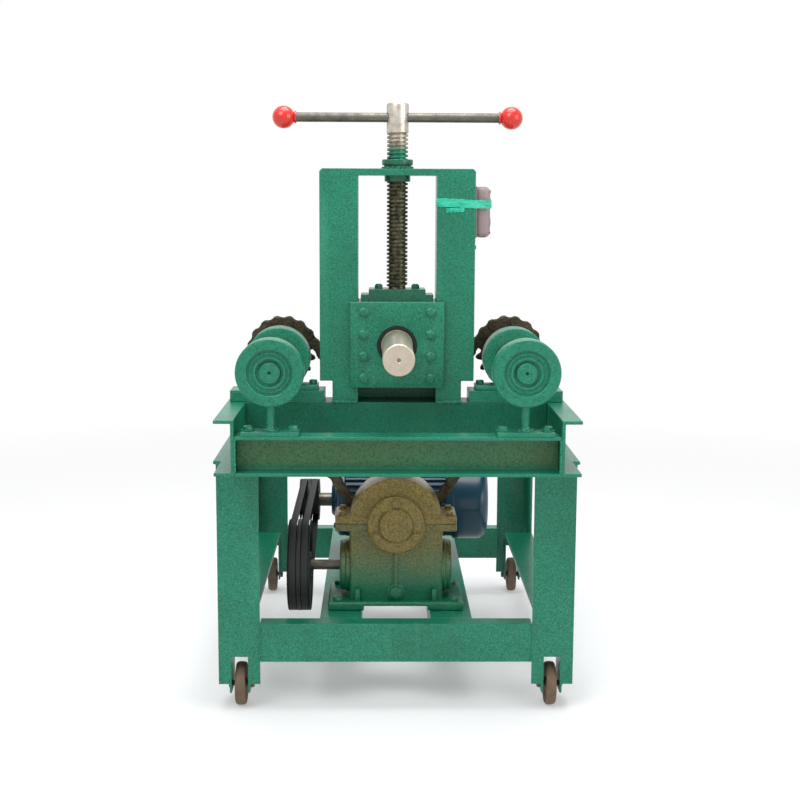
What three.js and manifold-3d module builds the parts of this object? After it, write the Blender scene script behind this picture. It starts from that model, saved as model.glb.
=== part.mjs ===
// An electric pipe bender: a steel stand on four casters, two driven lower shafts with outboard bearings,
// and an upper shaft in a slide block that a hand screw presses down between the columns of the head.
// Millimetres, +Z up. The middle of the footprint is at X = 0 and Y = 0, and the floor is at Z = 0.
// While the pieces are made, Y is measured from the front face of the front legs, and grows to the rear.
import * as THREE from "three";
import { mergeVertices } from "three/addons/utils/BufferGeometryUtils.js";
import Module from "manifold-3d";

const wasm = await Module();
wasm.setup();

// Clearances and overruns
const runningGap = 0.3;
const slideGap = 0.5;
const overrun = 2;
const rooting = 1;
const weldTolerance = 0.001;
const fullTurn = 2 * Math.PI;
const hexSides = 6;

// Stand: four angle legs, tube and angle rails
const frameWidth = 540;
const frameDepth = 640;
const underBeamGap = 42;
const legLift = 41;
const angleSize = 63;
const angleWall = 5;
const topRailOverhang = 4;
const sideRailWidth = 53;
const bottomRailTop = 136;
const bottomRailTall = 60;
const bottomRailDeep = 30;
const tubeWall = 3;
const barInner = 53;
const barWidth = 64;
const barTall = 40;
const barWall = 5;

// Casters in notched legs
const wheelRadius = 33;
const wheelWidth = 20;
const wheelSideGap = 2.5;
const wheelInset = 32;
const wheelSides = 16;
const axleRadius = 4;
const axleHeadRadius = 7;
const axleHeadTall = 4;
const frontAxleInset = 28;
const rearAxleInset = -10;
const frontNotchRise = 43;
const rearNotchRise = 54;
const cheekWall = 3;
const cheekReach = 22;
const cheekDrop = 14;
const cheekRise = 12;

// Upper base of channels
const channelWall = 5;
const channelTall = 80;
const channelShaftGap = 50;
const channelFlange = 29;
const frontOverhang = 117;
const channelRear = 300;
const frontBeamTall = 57;
const frontBeamDeep = 38;
const crossBeamFront = 60;
const crossBeamDeep = 58;
const crossBeamWall = 6;

// Head: an inverted U of box section on the cross beam
const columnWide = 58;
const windowHalf = 59;
const headTall = 352;
const topBarTall = 10;
const columnWall = 6;
const footCut = 19;
const footCutTall = 33;
const headChamfer = 4;

// Lead screw, its nut and the handle
const screwRadius = 16;
const threadPitch = 6;
const threadDepth = 3;
const threadSides = 8;
const screwLift = 39;
const screwHeadRadius = 16.5;
const screwHeadTall = 44;
const screwHeadBevel = 1.5;
const handleDrop = 21;
const handleRadius = 7;
const handleHalf = 177;
const knobRadius = 17;
const knobBack = 6;
const knobSides = 16;
const nutCollarRadius = 23.5;
const nutCollarTall = 14;
const nutBodyRadius = 19.7;
const nutSpigotDrop = 9;
const screwCollarRadius = 20;
const screwCollarTall = 9.2;
const journalRadius = 13;

// Press block between the columns
const blockLift = 24;
const blockTall = 130;
const plateOverlap = 12;
const coverThick = 11.6;
const coverHoleRadius = 30;
const coverBoltRadius = 8;
const coverBoltTall = 6;
const coverBoltInset = 20.5;
const coverBoltRows = 4;
const coverBoltEnd = 15;
const plateGap = 0.4;
const rearFlangeThick = 10;
const rearFlangeDrop = 27;
const clampSideGap = 4;
const clampLowerTall = 10;
const clampStep = 12;
const clampUpperTall = 8;
const clampDeepShare = 0.86;
const clampBoltInset = 15;
const clampBoltRadius = 7;
const clampBoltTall = 7;

// Upper shaft
const shaftRadius = 22.5;
const upperShaftRise = 64;
const upperShaftFront = 143;
const shaftChamfer = 1.5;
const centreHoleRadius = 3;
const centreHoleDeep = 5;
const retainerRadius = 26;
const retainerThick = 7;
const shaftFlangeRadius = 28;
const shaftFlangeSink = 8;
const roundSides = 20;

// Lower shafts and their bearings
const bearingColumnGap = 15;
const lowerShaftRise = 66;
const noseRadius = 15;
const noseEndSink = 1;
const noseFaceSink = 1;
const bearingRadius = 48;
const bearingChamfer = 1.5;
const outboardThick = 30;
const outboardFront = 4;
const outboardRecessRadius = 32;
const outboardRecessDeep = 3;
const outboardLipRadius = 20;
const outboardPlateHalf = 41;
const outboardPlateTall = 6;
const outboardBoltInset = 9;
const outboardBoltRadius = 8;
const outboardBoltTall = 7;
const postRadius = 6;
const postSink = 4;
const rearBearingSink = 1;
const rearBearingThick = 40;
const rearBearingFootReach = 12;
const rearBearingFootTall = 8;
const rearBearingBoltInset = 8;
const rearBearingBoltRadius = 7;
const rearBearingBoltTall = 7;
const baseBlockTuck = 7;
const baseBlockReach = 74;
const baseBlockTall = 18;
const baseBlockSpare = 9;

// Roller chains, a double sprocket on the output shaft and one sprocket on each lower shaft
const chainPitch = 19.05;
const chainRollerRadius = 5.95;
const sprocketTeeth = 16;
const sprocketWidth = 11.3;
const sprocketSeatGap = 0.35;
const toothTipRise = 4.2;
const hubRadius = 32;
const hubLong = 9;
const chainPlateHalf = 9;
const chainPlateThick = 3.6;
const chainPlateGap = 0.55;
const chainArcSteps = 8;
const rollerSides = 6;
const shaftTail = 10;
const tipHalfShare = 0.16;
const seatSteps = 2;
const seatSweep = 1.35;

// Worm reducer under the head
const wormWheelRoom = 4.5;
const reducerFront = 80;
const reducerDeep = 70;
const reducerWall = 8;
const reducerFootReach = 33;
const reducerFootTall = 14;
const reducerFootAhead = 14;
const reducerFootBehind = 34;
const footArchHalf = 50;
const footArchTall = 8;
const wormWheelRadius = 60.5;
const wormRise = 59;
const wormWheelSideGap = 5;
const wormRadius = 16;
const wormHalf = 38;
const wormShaftRadius = 8;
const meshGap = 0.5;
const wormWheelHalfThick = 12;
const outputShaftRadius = 14;
const outputFrontSink = 8;
const splitEar = 22;
const splitEarTall = 12;
const splitBoltRadius = 6;
const splitBoltTall = 6;
const coverRadius = 45.5;
const coverTall = 12;
const coverDiscRadius = 27;
const coverDiscTall = 4;
const coverDiscBoltRadius = 6;
const coverDiscBoltTall = 3;
const coverDiscBolts = 3;
const coverDiscBoltCircle = 36;
const bossRadius = 42;
const bossRoot = 7;
const bossStand = 15;
const ribHalf = 3;
const ribDeep = 5;
const drainRadius = 12;
const drainTall = 5;
const drainRise = 13;

// Belt drive
const pulleyBossGap = 45;
const pulleyWide = 38;
const wormPulleyRadius = 72.5;
const motorPulleyRadius = 37.5;
const pulleyWebThin = 10;
const pulleyRimThick = 16;
const pulleyHubRadius = 20;
const beltSink = 4.5;
const beltWidth = 10;
const beltThick = 8;
const grooveExtra = 1.5;
const beltSpacing = 19;
const beltArcSteps = 10;

// Motor behind the reducer
const beltSpan = 305;
const motorRise = 98;
const motorRadius = 66;
const motorLeft = 112;
const motorRight = 168;
const motorEndRadius = 56;
const motorEndLong = 18;
const cowlRadius = 70;
const cowlLong = 60;
const cowlRounding = 18;
const cowlSteps = 4;
const motorShaftRadius = 12;
const motorShaftTail = 60;
const motorFootHalf = 75;
const motorFootTall = 10;
const motorFootFromX = 85;
const motorFootToX = 85;
const motorPedestalHalf = 45;

// Switch box on the right column
const switchThick = 23;
const switchFront = 70;
const switchDeep = 48;
const switchDrop = 102;
const switchTall = 76;
const switchRounding = 8;
const cornerSteps = 3;
const buttonRadius = 8;
const buttonStandOff = 1.5;
const buttonDeep = 5;
const buttonPitch = 30;
const pocketExtra = 2.5;

// Places worked out from the sizes above
const wormHeight = bottomRailTop + wormRise;
const wheelShaftHeight = wormHeight + wormRadius + meshGap + wormWheelRadius;
const reducerHalf = wormWheelRadius + wormWheelRoom + reducerWall;
const frameHeight = wheelShaftHeight + reducerHalf + underBeamGap;
const legTop = frameHeight - angleWall;
const legInner = frameWidth / 2 - angleSize;
const baseTop = frameHeight + channelTall;
const crossBeamBack = crossBeamFront + crossBeamDeep;
const screwY = crossBeamFront + crossBeamDeep / 2;
const headHalf = windowHalf + columnWide;
const headTop = baseTop + headTall;
const blockBottom = baseTop + blockLift;
const blockTop = blockBottom + blockTall;
const blockHalf = windowHalf - slideGap;
const blockFront = crossBeamFront - plateGap;
const blockBack = crossBeamBack + plateGap;
const plateHalf = windowHalf + plateOverlap;
const clampLowerHalf = windowHalf - clampSideGap;
const clampUpperHalf = clampLowerHalf - clampStep;
const clampMiddle = blockTop + clampLowerTall;
const threadStart = clampMiddle + clampUpperTall + overrun;
const threadEnd = headTop + nutCollarTall + screwLift;
const handleHeight = threadEnd + screwHeadTall - handleDrop;
const upperShaftHeight = blockBottom + upperShaftRise;
const lowerShaftHeight = baseTop + lowerShaftRise;
const lowerShaftX = headHalf + bearingColumnGap + bearingRadius;
const channelInner = lowerShaftX + channelShaftGap;
const frontBeamTop = frameHeight + frontBeamTall;
const frontBeamBack = frontBeamDeep - frontOverhang;
const outboardFace = outboardFront - frontOverhang;
const rearBearingFront = crossBeamFront + rearBearingSink;
const baseBlockTop = baseTop + baseBlockTall;
const baseBlockDeep = rearBearingSink + rearBearingThick + baseBlockSpare;
const rearBearingFootHalf = bearingRadius + rearBearingFootReach;
const reducerBack = reducerFront + reducerDeep;
const wormPlane = reducerBack - reducerWall - wormWheelHalfThick - wormWheelSideGap;
const bossInner = reducerHalf - bossRoot;
const bossOuter = reducerHalf + bossStand;
const chainPlane = reducerBack + sprocketSeatGap + hubLong + sprocketWidth / 2;
const pitchRadius = chainPitch / 2 / Math.sin(Math.PI / sprocketTeeth);
const chainNear = sprocketWidth / 2 + chainPlateGap;
const chainFar = chainNear + chainPlateThick;
const chainSpread = 2 * chainFar - rooting;
const shaftEnd = chainPlane + chainSpread + sprocketWidth / 2 + shaftTail;
const pulleyOuter = bossOuter + pulleyBossGap + pulleyWide;
const wormBeltRadius = wormPulleyRadius - beltSink;
const motorBeltRadius = motorPulleyRadius - beltSink;
const motorPlane = wormPlane + beltSpan;
const motorHeight = bottomRailTop + motorRise;
const switchBottom = headTop - switchDrop;
const rearMost = frameDepth - rearAxleInset + wheelRadius;

const paints = {
  green: { color: "#30816b", roughness: 0.45, metalness: 0.1 },
  gold: { color: "#7d7142", roughness: 0.5, metalness: 0.2 },
  thread: { color: "#3a3e2e", roughness: 0.5, metalness: 0.7 },
  steel: { color: "#b7b2a8", roughness: 0.35, metalness: 0.9 },
  bar: { color: "#62605c", roughness: 0.4, metalness: 0.8 },
  red: { color: "#cd5553", roughness: 0.3, metalness: 0.0 },
  chain: { color: "#2b2f29", roughness: 0.55, metalness: 0.6 },
  black: { color: "#1d2122", roughness: 0.7, metalness: 0.0 },
  iron: { color: "#232c28", roughness: 0.6, metalness: 0.4 },
  blue: { color: "#26444e", roughness: 0.4, metalness: 0.2 },
  tread: { color: "#727163", roughness: 0.7, metalness: 0.1 },
  grey: { color: "#8b8985", roughness: 0.5, metalness: 0.0 },
};

// Solids made from three.js geometry, joined and cut as manifolds
const axisX = new THREE.Vector3(1, 0, 0);
const axisY = new THREE.Vector3(0, 1, 0);
const axisZ = new THREE.Vector3(0, 0, 1);
const turnedTo = {
  x: new THREE.Matrix4().makeRotationZ(-Math.PI / 2),
  y: new THREE.Matrix4(),
  z: new THREE.Matrix4().makeRotationX(Math.PI / 2),
};
const drawnOn = {
  x: new THREE.Matrix4().makeBasis(axisY, axisZ, axisX),
  y: new THREE.Matrix4().makeRotationX(Math.PI / 2),
  z: new THREE.Matrix4(),
};

function solidOf(geometry) {
  const plain = geometry.index ? geometry.toNonIndexed() : geometry;
  const bare = new THREE.BufferGeometry().setAttribute("position", plain.getAttribute("position"));
  const merged = mergeVertices(bare, weldTolerance);
  const vertProperties = merged.attributes.position.array;
  const triVerts = new Uint32Array(merged.index.array);
  const made = new wasm.Manifold(new wasm.Mesh({ numProp: 3, vertProperties, triVerts }));
  if (made.volume() > 0) return made;
  triVerts.reverse();
  return new wasm.Manifold(new wasm.Mesh({ numProp: 3, vertProperties, triVerts }));
}

function block([x0, x1], [y0, y1], [z0, z1]) {
  const geometry = new THREE.BoxGeometry(Math.abs(x1 - x0), Math.abs(y1 - y0), Math.abs(z1 - z0));
  return solidOf(geometry.translate((x0 + x1) / 2, (y0 + y1) / 2, (z0 + z1) / 2));
}

// A turned solid: the profile is a list of [radius, place along the axis], closed at the axis or on itself.
function turned(profile, axis, [x, y, z], sides = roundSides) {
  const points = profile.map(([radius, place]) => new THREE.Vector2(radius, place));
  const geometry = new THREE.LatheGeometry(points, sides);
  geometry.applyMatrix4(turnedTo[axis]);
  return solidOf(geometry.translate(x, y, z));
}

function rod(radius, from, to, axis, centre, sides = roundSides) {
  return turned([[0, from], [radius, from], [radius, to], [0, to]], axis, centre, sides);
}

// A prism: the outline's points are [x, z] along y, [y, z] along x, and [x, y] along z.
function prism(outline, from, to, axis, holes = []) {
  const shape = new THREE.Shape(outline.map(([a, b]) => new THREE.Vector2(a, b)));
  for (const hole of holes) shape.holes.push(new THREE.Path(hole.map(([a, b]) => new THREE.Vector2(a, b))));
  const geometry = new THREE.ExtrudeGeometry(shape, { depth: to - from, bevelEnabled: false });
  geometry.applyMatrix4(drawnOn[axis]);
  const start = { x: [from, 0, 0], y: [0, to, 0], z: [0, 0, from] }[axis];
  return solidOf(geometry.translate(...start));
}

function joined(...solids) {
  return solids.reduce((whole, next) => whole.add(next));
}

function cut(whole, ...tools) {
  return tools.reduce((rest, tool) => rest.subtract(tool), whole);
}

function boltHead(radius, from, to, axis, centre) {
  const edge = (to - from) / 3;
  return turned(
    [[0, from], [radius, from], [radius, to - edge], [radius - Math.abs(edge), to], [0, to]],
    axis,
    centre,
    hexSides,
  );
}

// The outline of a belt round circles [a, b, radius], taken counterclockwise, moved out by an offset.
function beltOutline(circles, offset, steps) {
  const facing = circles.map(([a, b, radius], i) => {
    const [nextA, nextB, nextRadius] = circles[(i + 1) % circles.length];
    const span = Math.hypot(nextA - a, nextB - b);
    return Math.atan2(nextB - b, nextA - a) - Math.acos((radius - nextRadius) / span);
  });
  return circles.flatMap(([a, b, radius], i) => {
    const start = facing[(i + circles.length - 1) % circles.length];
    const sweep = (((facing[i] - start) % fullTurn) + fullTurn) % fullTurn;
    return Array.from({ length: steps + 1 }, (_, step) => {
      const angle = start + (sweep * step) / steps;
      return [a + (radius + offset) * Math.cos(angle), b + (radius + offset) * Math.sin(angle)];
    });
  });
}

const machine = new THREE.Group();
machine.position.y = (upperShaftFront - rearMost) / 2;

function piece(name, paint, solid) {
  const { vertProperties, triVerts } = solid.getMesh();
  const geometry = new THREE.BufferGeometry();
  geometry.setAttribute("position", new THREE.BufferAttribute(new Float32Array(vertProperties), 3));
  geometry.setIndex(new THREE.BufferAttribute(new Uint32Array(triVerts), 1));
  const mesh = new THREE.Mesh(geometry, new THREE.MeshStandardMaterial(paints[paint]));
  mesh.name = name;
  machine.add(mesh);
}

const sides = [{ side: "left", sign: -1 }, { side: "right", sign: 1 }];
const ends = [
  { end: "front", axleInset: frontAxleInset, notchRise: frontNotchRise },
  { end: "rear", axleInset: rearAxleInset, notchRise: rearNotchRise },
];

function across(sign, from, to) {
  return sign > 0 ? [from, to] : [-to, -from];
}

function inward(end, from, to) {
  return end === "front" ? [from, to] : [frameDepth - to, frameDepth - from];
}

// An angle leg, notched for its wheel, with two fork cheeks welded beside the notch
function leg(sign, { end, axleInset, notchRise }) {
  const outer = frameWidth / 2;
  const wheelX = outer - wheelInset;
  const notchHalf = wheelWidth / 2 + wheelSideGap;
  const notch = across(sign, wheelX - notchHalf, wheelX + notchHalf);
  const cheekLong = [Math.min(0, axleInset - cheekReach), axleInset + cheekReach];
  const cheekZ = [legLift - cheekDrop, legLift + notchRise + cheekRise];
  const innerCheek = across(sign, wheelX - notchHalf - cheekWall, wheelX - notchHalf);
  const outerCheek = across(sign, wheelX + notchHalf, wheelX + notchHalf + cheekWall);
  const place = end === "front" ? axleInset : inward(end, axleInset, axleInset)[0];
  const body = joined(
    block(across(sign, legInner, outer), inward(end, 0, angleWall), [legLift, legTop]),
    block(across(sign, outer - angleWall, outer), inward(end, 0, angleSize), [legLift, legTop]),
  );
  const opened = cut(
    body,
    block(notch, inward(end, -overrun, angleWall + overrun), [legLift - overrun, legLift + notchRise]),
  );
  const forked = joined(
    opened,
    block(innerCheek, inward(end, ...cheekLong), cheekZ),
    block(outerCheek, inward(end, ...cheekLong), cheekZ),
  );
  const reach = notchHalf + cheekWall + overrun;
  const bore = rod(axleRadius + runningGap, -reach, reach, "x", [sign * wheelX, place, wheelRadius]);
  return cut(forked, bore);
}

function casterWheel(sign, place) {
  const half = wheelWidth / 2;
  const bore = axleRadius + runningGap;
  const corner = wheelRadius / Math.cos(Math.PI / wheelSides);
  const profile = [[bore, -half], [corner, -half], [corner, half], [bore, half], [bore, -half]];
  const wheel = turned(profile, "x", [0, 0, 0], wheelSides).rotate([180 / wheelSides, 0, 0]);
  return wheel.translate([sign * (frameWidth / 2 - wheelInset), place, wheelRadius]);
}

function casterAxle(sign, place) {
  const reach = wheelWidth / 2 + wheelSideGap + cheekWall;
  const profile = [
    [0, -reach - axleHeadTall], [axleHeadRadius, -reach - axleHeadTall], [axleHeadRadius, -reach],
    [axleRadius, -reach],
    [axleRadius, reach], [axleHeadRadius, reach], [axleHeadRadius, reach + axleHeadTall],
    [0, reach + axleHeadTall],
  ];
  return turned(profile, "x", [sign * (frameWidth / 2 - wheelInset), place, wheelRadius], roundSides / 2);
}

for (const { side, sign } of sides) {
  for (const corner of ends) {
    const place = corner.end === "front" ? corner.axleInset : frameDepth - corner.axleInset;
    piece(`leg_${corner.end}_${side}`, "green", leg(sign, corner));
    piece(`caster_wheel_${corner.end}_${side}`, "tread", casterWheel(sign, place));
    piece(`caster_axle_${corner.end}_${side}`, "steel", casterAxle(sign, place));
  }
}

// A tube rail between the flanges of two legs
function endRail(end) {
  const x = [-legInner, legInner];
  const z = [bottomRailTop - bottomRailTall, bottomRailTop];
  const hollowZ = [z[0] + tubeWall, z[1] - tubeWall];
  return cut(
    block(x, inward(end, 0, bottomRailDeep), z),
    block(
      [-legInner - overrun, legInner + overrun],
      inward(end, tubeWall, bottomRailDeep - tubeWall),
      hollowZ,
    ),
  );
}

function sideRail(sign) {
  const outer = frameWidth / 2;
  const y = [angleSize, frameDepth - angleSize];
  return joined(
    block(across(sign, outer - sideRailWidth, outer), y, [bottomRailTop - angleWall, bottomRailTop]),
    block(across(sign, outer - angleWall, outer), y, [bottomRailTop - bottomRailTall, bottomRailTop]),
  );
}

function topRail(sign) {
  const outer = frameWidth / 2;
  return joined(
    block(across(sign, legInner, outer + topRailOverhang), [0, frameDepth], [legTop, frameHeight]),
    block(
      across(sign, outer - angleWall, outer),
      [angleSize, frameDepth - angleSize],
      [frameHeight - angleSize, frameHeight],
    ),
  );
}

function motorBar(sign) {
  const y = [bottomRailDeep, frameDepth - bottomRailDeep];
  const z = [bottomRailTop - barTall, bottomRailTop];
  return cut(
    block(across(sign, barInner, barInner + barWidth), y, z),
    block(across(sign, barInner + barWall, barInner + barWidth - barWall), [y[0] - overrun, y[1] + overrun],
      [z[0] - overrun, z[1] - barWall]),
  );
}

for (const { end } of ends) piece(`bottom_rail_${end}`, "green", endRail(end));
for (const { side, sign } of sides) {
  piece(`bottom_rail_${side}`, "green", sideRail(sign));
  piece(`top_rail_${side}`, "green", topRail(sign));
  piece(`motor_bar_${side}`, "green", motorBar(sign));
}

// The upper base: two side channels, the front channel under the outboard bearings, and a box cross beam
function sideChannel(sign) {
  const y = [-frontOverhang, channelRear];
  const flange = across(sign, channelInner, channelInner + channelFlange);
  return joined(
    block(across(sign, channelInner, channelInner + channelWall), y, [frameHeight, baseTop]),
    block(flange, y, [frameHeight, frameHeight + channelWall]),
    block(flange, y, [baseTop - channelWall, baseTop]),
  );
}

function frontBeam() {
  const x = [-channelInner, channelInner];
  const y = [-frontOverhang, frontBeamBack];
  return cut(
    block(x, y, [frameHeight, frontBeamTop]),
    block([x[0] - overrun, x[1] + overrun], [y[0] - overrun, y[1] - channelWall],
      [frameHeight + channelWall, frontBeamTop - channelWall]),
  );
}

function crossBeam() {
  const x = [-channelInner, channelInner];
  return cut(
    block(x, [crossBeamFront, crossBeamBack], [frameHeight, baseTop]),
    block([x[0] - overrun, x[1] + overrun], [crossBeamFront + crossBeamWall, crossBeamBack - crossBeamWall],
      [frameHeight + crossBeamWall, baseTop - crossBeamWall]),
  );
}

for (const { side, sign } of sides) piece(`side_channel_${side}`, "green", sideChannel(sign));
piece("front_beam", "green", frontBeam());
piece("cross_beam", "green", crossBeam());

// The head: two box columns and a top bar in one weldment, with a hole for the nut
function headFrame() {
  const outline = [
    [-headHalf + footCut, baseTop], [-windowHalf, baseTop], [-windowHalf, headTop - topBarTall],
    [windowHalf, headTop - topBarTall], [windowHalf, baseTop], [headHalf - footCut, baseTop],
    [headHalf - footCut, baseTop + footCutTall], [headHalf, baseTop + footCutTall],
    [headHalf, headTop - headChamfer], [headHalf - headChamfer, headTop],
    [-headHalf + headChamfer, headTop], [-headHalf, headTop - headChamfer],
    [-headHalf, baseTop + footCutTall], [-headHalf + footCut, baseTop + footCutTall],
  ];
  const hollows = sides.flatMap(({ sign }) => [
    block(across(sign, windowHalf + columnWall, headHalf - footCut - columnWall),
      [crossBeamFront + columnWall, crossBeamBack - columnWall],
      [baseTop - overrun, headTop - topBarTall - overrun]),
    block(across(sign, windowHalf + columnWall, headHalf - columnWall),
      [crossBeamFront + columnWall, crossBeamBack - columnWall],
      [baseTop + footCutTall + columnWall, headTop - topBarTall - overrun]),
  ]);
  const nutHole = rod(
    nutBodyRadius + runningGap,
    headTop - topBarTall - overrun,
    headTop + overrun,
    "z",
    [0, screwY, 0],
  );
  return cut(prism(outline, crossBeamFront, crossBeamBack, "y"), ...hollows, nutHole);
}

function leadNut() {
  const bore = screwRadius + runningGap;
  const bottom = headTop - topBarTall - nutSpigotDrop;
  const top = headTop + nutCollarTall;
  const profile = [
    [bore, bottom], [nutBodyRadius, bottom], [nutBodyRadius, headTop], [nutCollarRadius, headTop],
    [nutCollarRadius, top - screwHeadBevel], [nutCollarRadius - screwHeadBevel, top], [bore, top],
    [bore, bottom],
  ];
  return turned(profile, "z", [0, screwY, 0]);
}

piece("head_frame", "green", headFrame());
piece("lead_nut", "green", leadNut());

// The press block slides between the columns, held by its rear flange and the bolted cover plate
function slideBlock() {
  const z = [blockBottom, blockTop];
  const place = [0, 0, upperShaftHeight];
  const flangeBack = blockBack + rearFlangeThick;
  const sunk = flangeBack - shaftFlangeSink - runningGap;
  return cut(
    joined(
      block([-blockHalf, blockHalf], [blockFront, blockBack + rooting], z),
      block([-plateHalf, plateHalf], [blockBack, flangeBack], [blockBottom - rearFlangeDrop, blockTop]),
    ),
    rod(shaftRadius + runningGap, blockFront - overrun, flangeBack + overrun, "y", place),
    rod(shaftFlangeRadius + slideGap, sunk, flangeBack + overrun, "y", place),
  );
}

function coverPlate() {
  const front = blockFront - coverThick;
  const plate = cut(
    block([-plateHalf, plateHalf], [front, blockFront], [blockBottom, blockTop]),
    rod(coverHoleRadius, front - overrun, blockFront + overrun, "y", [0, 0, upperShaftHeight]),
  );
  const rowStep = (blockTall - 2 * coverBoltEnd) / (coverBoltRows - 1);
  const bolts = sides.flatMap(({ sign }) =>
    Array.from({ length: coverBoltRows }, (_, row) => {
      const height = blockBottom + coverBoltEnd + row * rowStep;
      return boltHead(coverBoltRadius, front + rooting, front - coverBoltTall, "y",
        [sign * (plateHalf - coverBoltInset), 0, height]);
    }),
  );
  return joined(plate, ...bolts);
}

function screwClamp() {
  const deep = (crossBeamDeep * clampDeepShare) / 2;
  const y = [screwY - deep, screwY + deep];
  const top = clampMiddle + clampUpperTall;
  const plates = joined(
    block([-clampLowerHalf, clampLowerHalf], y, [blockTop, clampMiddle]),
    block([-clampUpperHalf, clampUpperHalf], y, [clampMiddle - rooting, top]),
  );
  const bolts = sides.map(({ sign }) =>
    boltHead(
      clampBoltRadius,
      top - rooting,
      top + clampBoltTall,
      "z",
      [sign * (clampUpperHalf - clampBoltInset), screwY, 0],
    ),
  );
  return cut(
    joined(plates, ...bolts),
    rod(screwCollarRadius + slideGap, blockTop - overrun, clampMiddle, "z", [0, screwY, 0]),
    rod(journalRadius + runningGap, blockTop, top + overrun, "z", [0, screwY, 0]),
  );
}

piece("slide_block", "green", slideBlock());
piece("cover_plate", "green", coverPlate());
piece("screw_clamp", "green", screwClamp());

// The lead screw: thrust collar, journal, thread ridges, and a plain head drilled for the handle
function leadScrew() {
  const bottom = blockTop + runningGap;
  const ridges = Array.from({ length: Math.floor((threadEnd - threadStart) / threadPitch) }, (_, turn) => {
    const start = threadStart + turn * threadPitch;
    return [[screwRadius - threadDepth, start], [screwRadius, start + threadPitch / 2]];
  }).flat();
  const headTopHeight = threadEnd + screwHeadTall;
  const profile = [
    [0, bottom], [screwCollarRadius, bottom], [screwCollarRadius, bottom + screwCollarTall],
    [journalRadius, bottom + screwCollarTall], [journalRadius, threadStart - rooting],
    ...ridges,
    [screwRadius - threadDepth, threadEnd], [screwHeadRadius, threadEnd],
    [screwHeadRadius, headTopHeight - screwHeadBevel], [screwHeadRadius - screwHeadBevel, headTopHeight],
    [0, headTopHeight],
  ];
  const reach = screwHeadRadius + overrun;
  const crossHole = rod(handleRadius + runningGap, -reach, reach, "x", [0, screwY, handleHeight]);
  return cut(turned(profile, "z", [0, screwY, 0], threadSides), crossHole);
}

function knob(sign) {
  const ball = solidOf(new THREE.SphereGeometry(knobRadius, knobSides, knobSides / 2)
    .translate(sign * (handleHalf - knobBack), screwY, handleHeight));
  const socket = rod(handleRadius + runningGap, 0, handleHalf + runningGap, "x", [0, screwY, handleHeight]);
  return cut(ball, sign > 0 ? socket : socket.mirror([1, 0, 0]));
}

piece("lead_screw", "thread", leadScrew());
piece(
  "handle_bar",
  "bar",
  rod(handleRadius, -handleHalf, handleHalf, "x", [0, screwY, handleHeight], roundSides / 2),
);
for (const { side, sign } of sides) piece(`knob_${side}`, "red", knob(sign));

// The upper shaft turns in the slide block, between a front retainer and a rear flange
function upperShaft() {
  const front = -upperShaftFront;
  const back = blockBack + rearFlangeThick - runningGap;
  const ringBack = blockFront - runningGap;
  const profile = [
    [0, front + centreHoleDeep], [centreHoleRadius, front], [shaftRadius - shaftChamfer, front],
    [shaftRadius, front + shaftChamfer], [shaftRadius, ringBack - retainerThick],
    [retainerRadius, ringBack - retainerThick], [retainerRadius, ringBack], [shaftRadius, ringBack],
    [shaftRadius, back - shaftFlangeSink + runningGap],
    [shaftFlangeRadius, back - shaftFlangeSink + runningGap],
    [shaftFlangeRadius, back], [0, back],
  ];
  return turned(profile, "y", [0, 0, upperShaftHeight]);
}

piece("upper_shaft", "steel", upperShaft());

// A lower shaft: a nose in the outboard bearing, and a full journal through the rear bearing to the sprocket
function lowerShaft(sign) {
  const front = outboardFace + noseFaceSink;
  const shoulder = outboardFace + outboardThick + runningGap;
  const profile = [
    [0, front + centreHoleDeep], [centreHoleRadius, front], [noseRadius - noseEndSink, front],
    [noseRadius, front + noseEndSink], [noseRadius, shoulder], [shaftRadius, shoulder],
    [shaftRadius, shaftEnd],
    [0, shaftEnd],
  ];
  return turned(profile, "y", [sign * lowerShaftX, 0, lowerShaftHeight]);
}

function outboardSupport(sign) {
  const x = sign * lowerShaftX;
  const back = outboardFace + outboardThick;
  const bore = noseRadius + runningGap;
  const ring = [
    [bore, outboardFace + outboardRecessDeep], [outboardLipRadius, outboardFace + outboardRecessDeep],
    [outboardLipRadius, outboardFace + bearingChamfer],
    [outboardRecessRadius - bearingChamfer, outboardFace + outboardRecessDeep],
    [outboardRecessRadius, outboardFace], [bearingRadius - bearingChamfer, outboardFace],
    [bearingRadius, outboardFace + bearingChamfer], [bearingRadius, back], [bore, back],
    [bore, outboardFace + outboardRecessDeep],
  ];
  const plateTop = frontBeamTop + outboardPlateTall;
  const middle = (frontBeamBack - frontOverhang) / 2;
  const bolts = sides.map((end) =>
    boltHead(outboardBoltRadius, plateTop - rooting, plateTop + outboardBoltTall, "z",
      [x + end.sign * (outboardPlateHalf - outboardBoltInset), middle, 0]),
  );
  return joined(
    turned(ring, "y", [x, 0, lowerShaftHeight]),
    rod(
      postRadius,
      plateTop - rooting,
      lowerShaftHeight - bearingRadius + postSink,
      "z",
      [x, middle, 0],
      roundSides / 2,
    ),
    block(
      [x - outboardPlateHalf, x + outboardPlateHalf],
      [-frontOverhang, frontBeamBack],
      [frontBeamTop, plateTop],
    ),
    ...bolts,
  );
}

function baseBlock(sign) {
  const x = across(sign, headHalf - baseBlockTuck, lowerShaftX + baseBlockReach);
  return block(x, [crossBeamFront, crossBeamFront + baseBlockDeep], [baseTop, baseBlockTop]);
}

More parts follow.
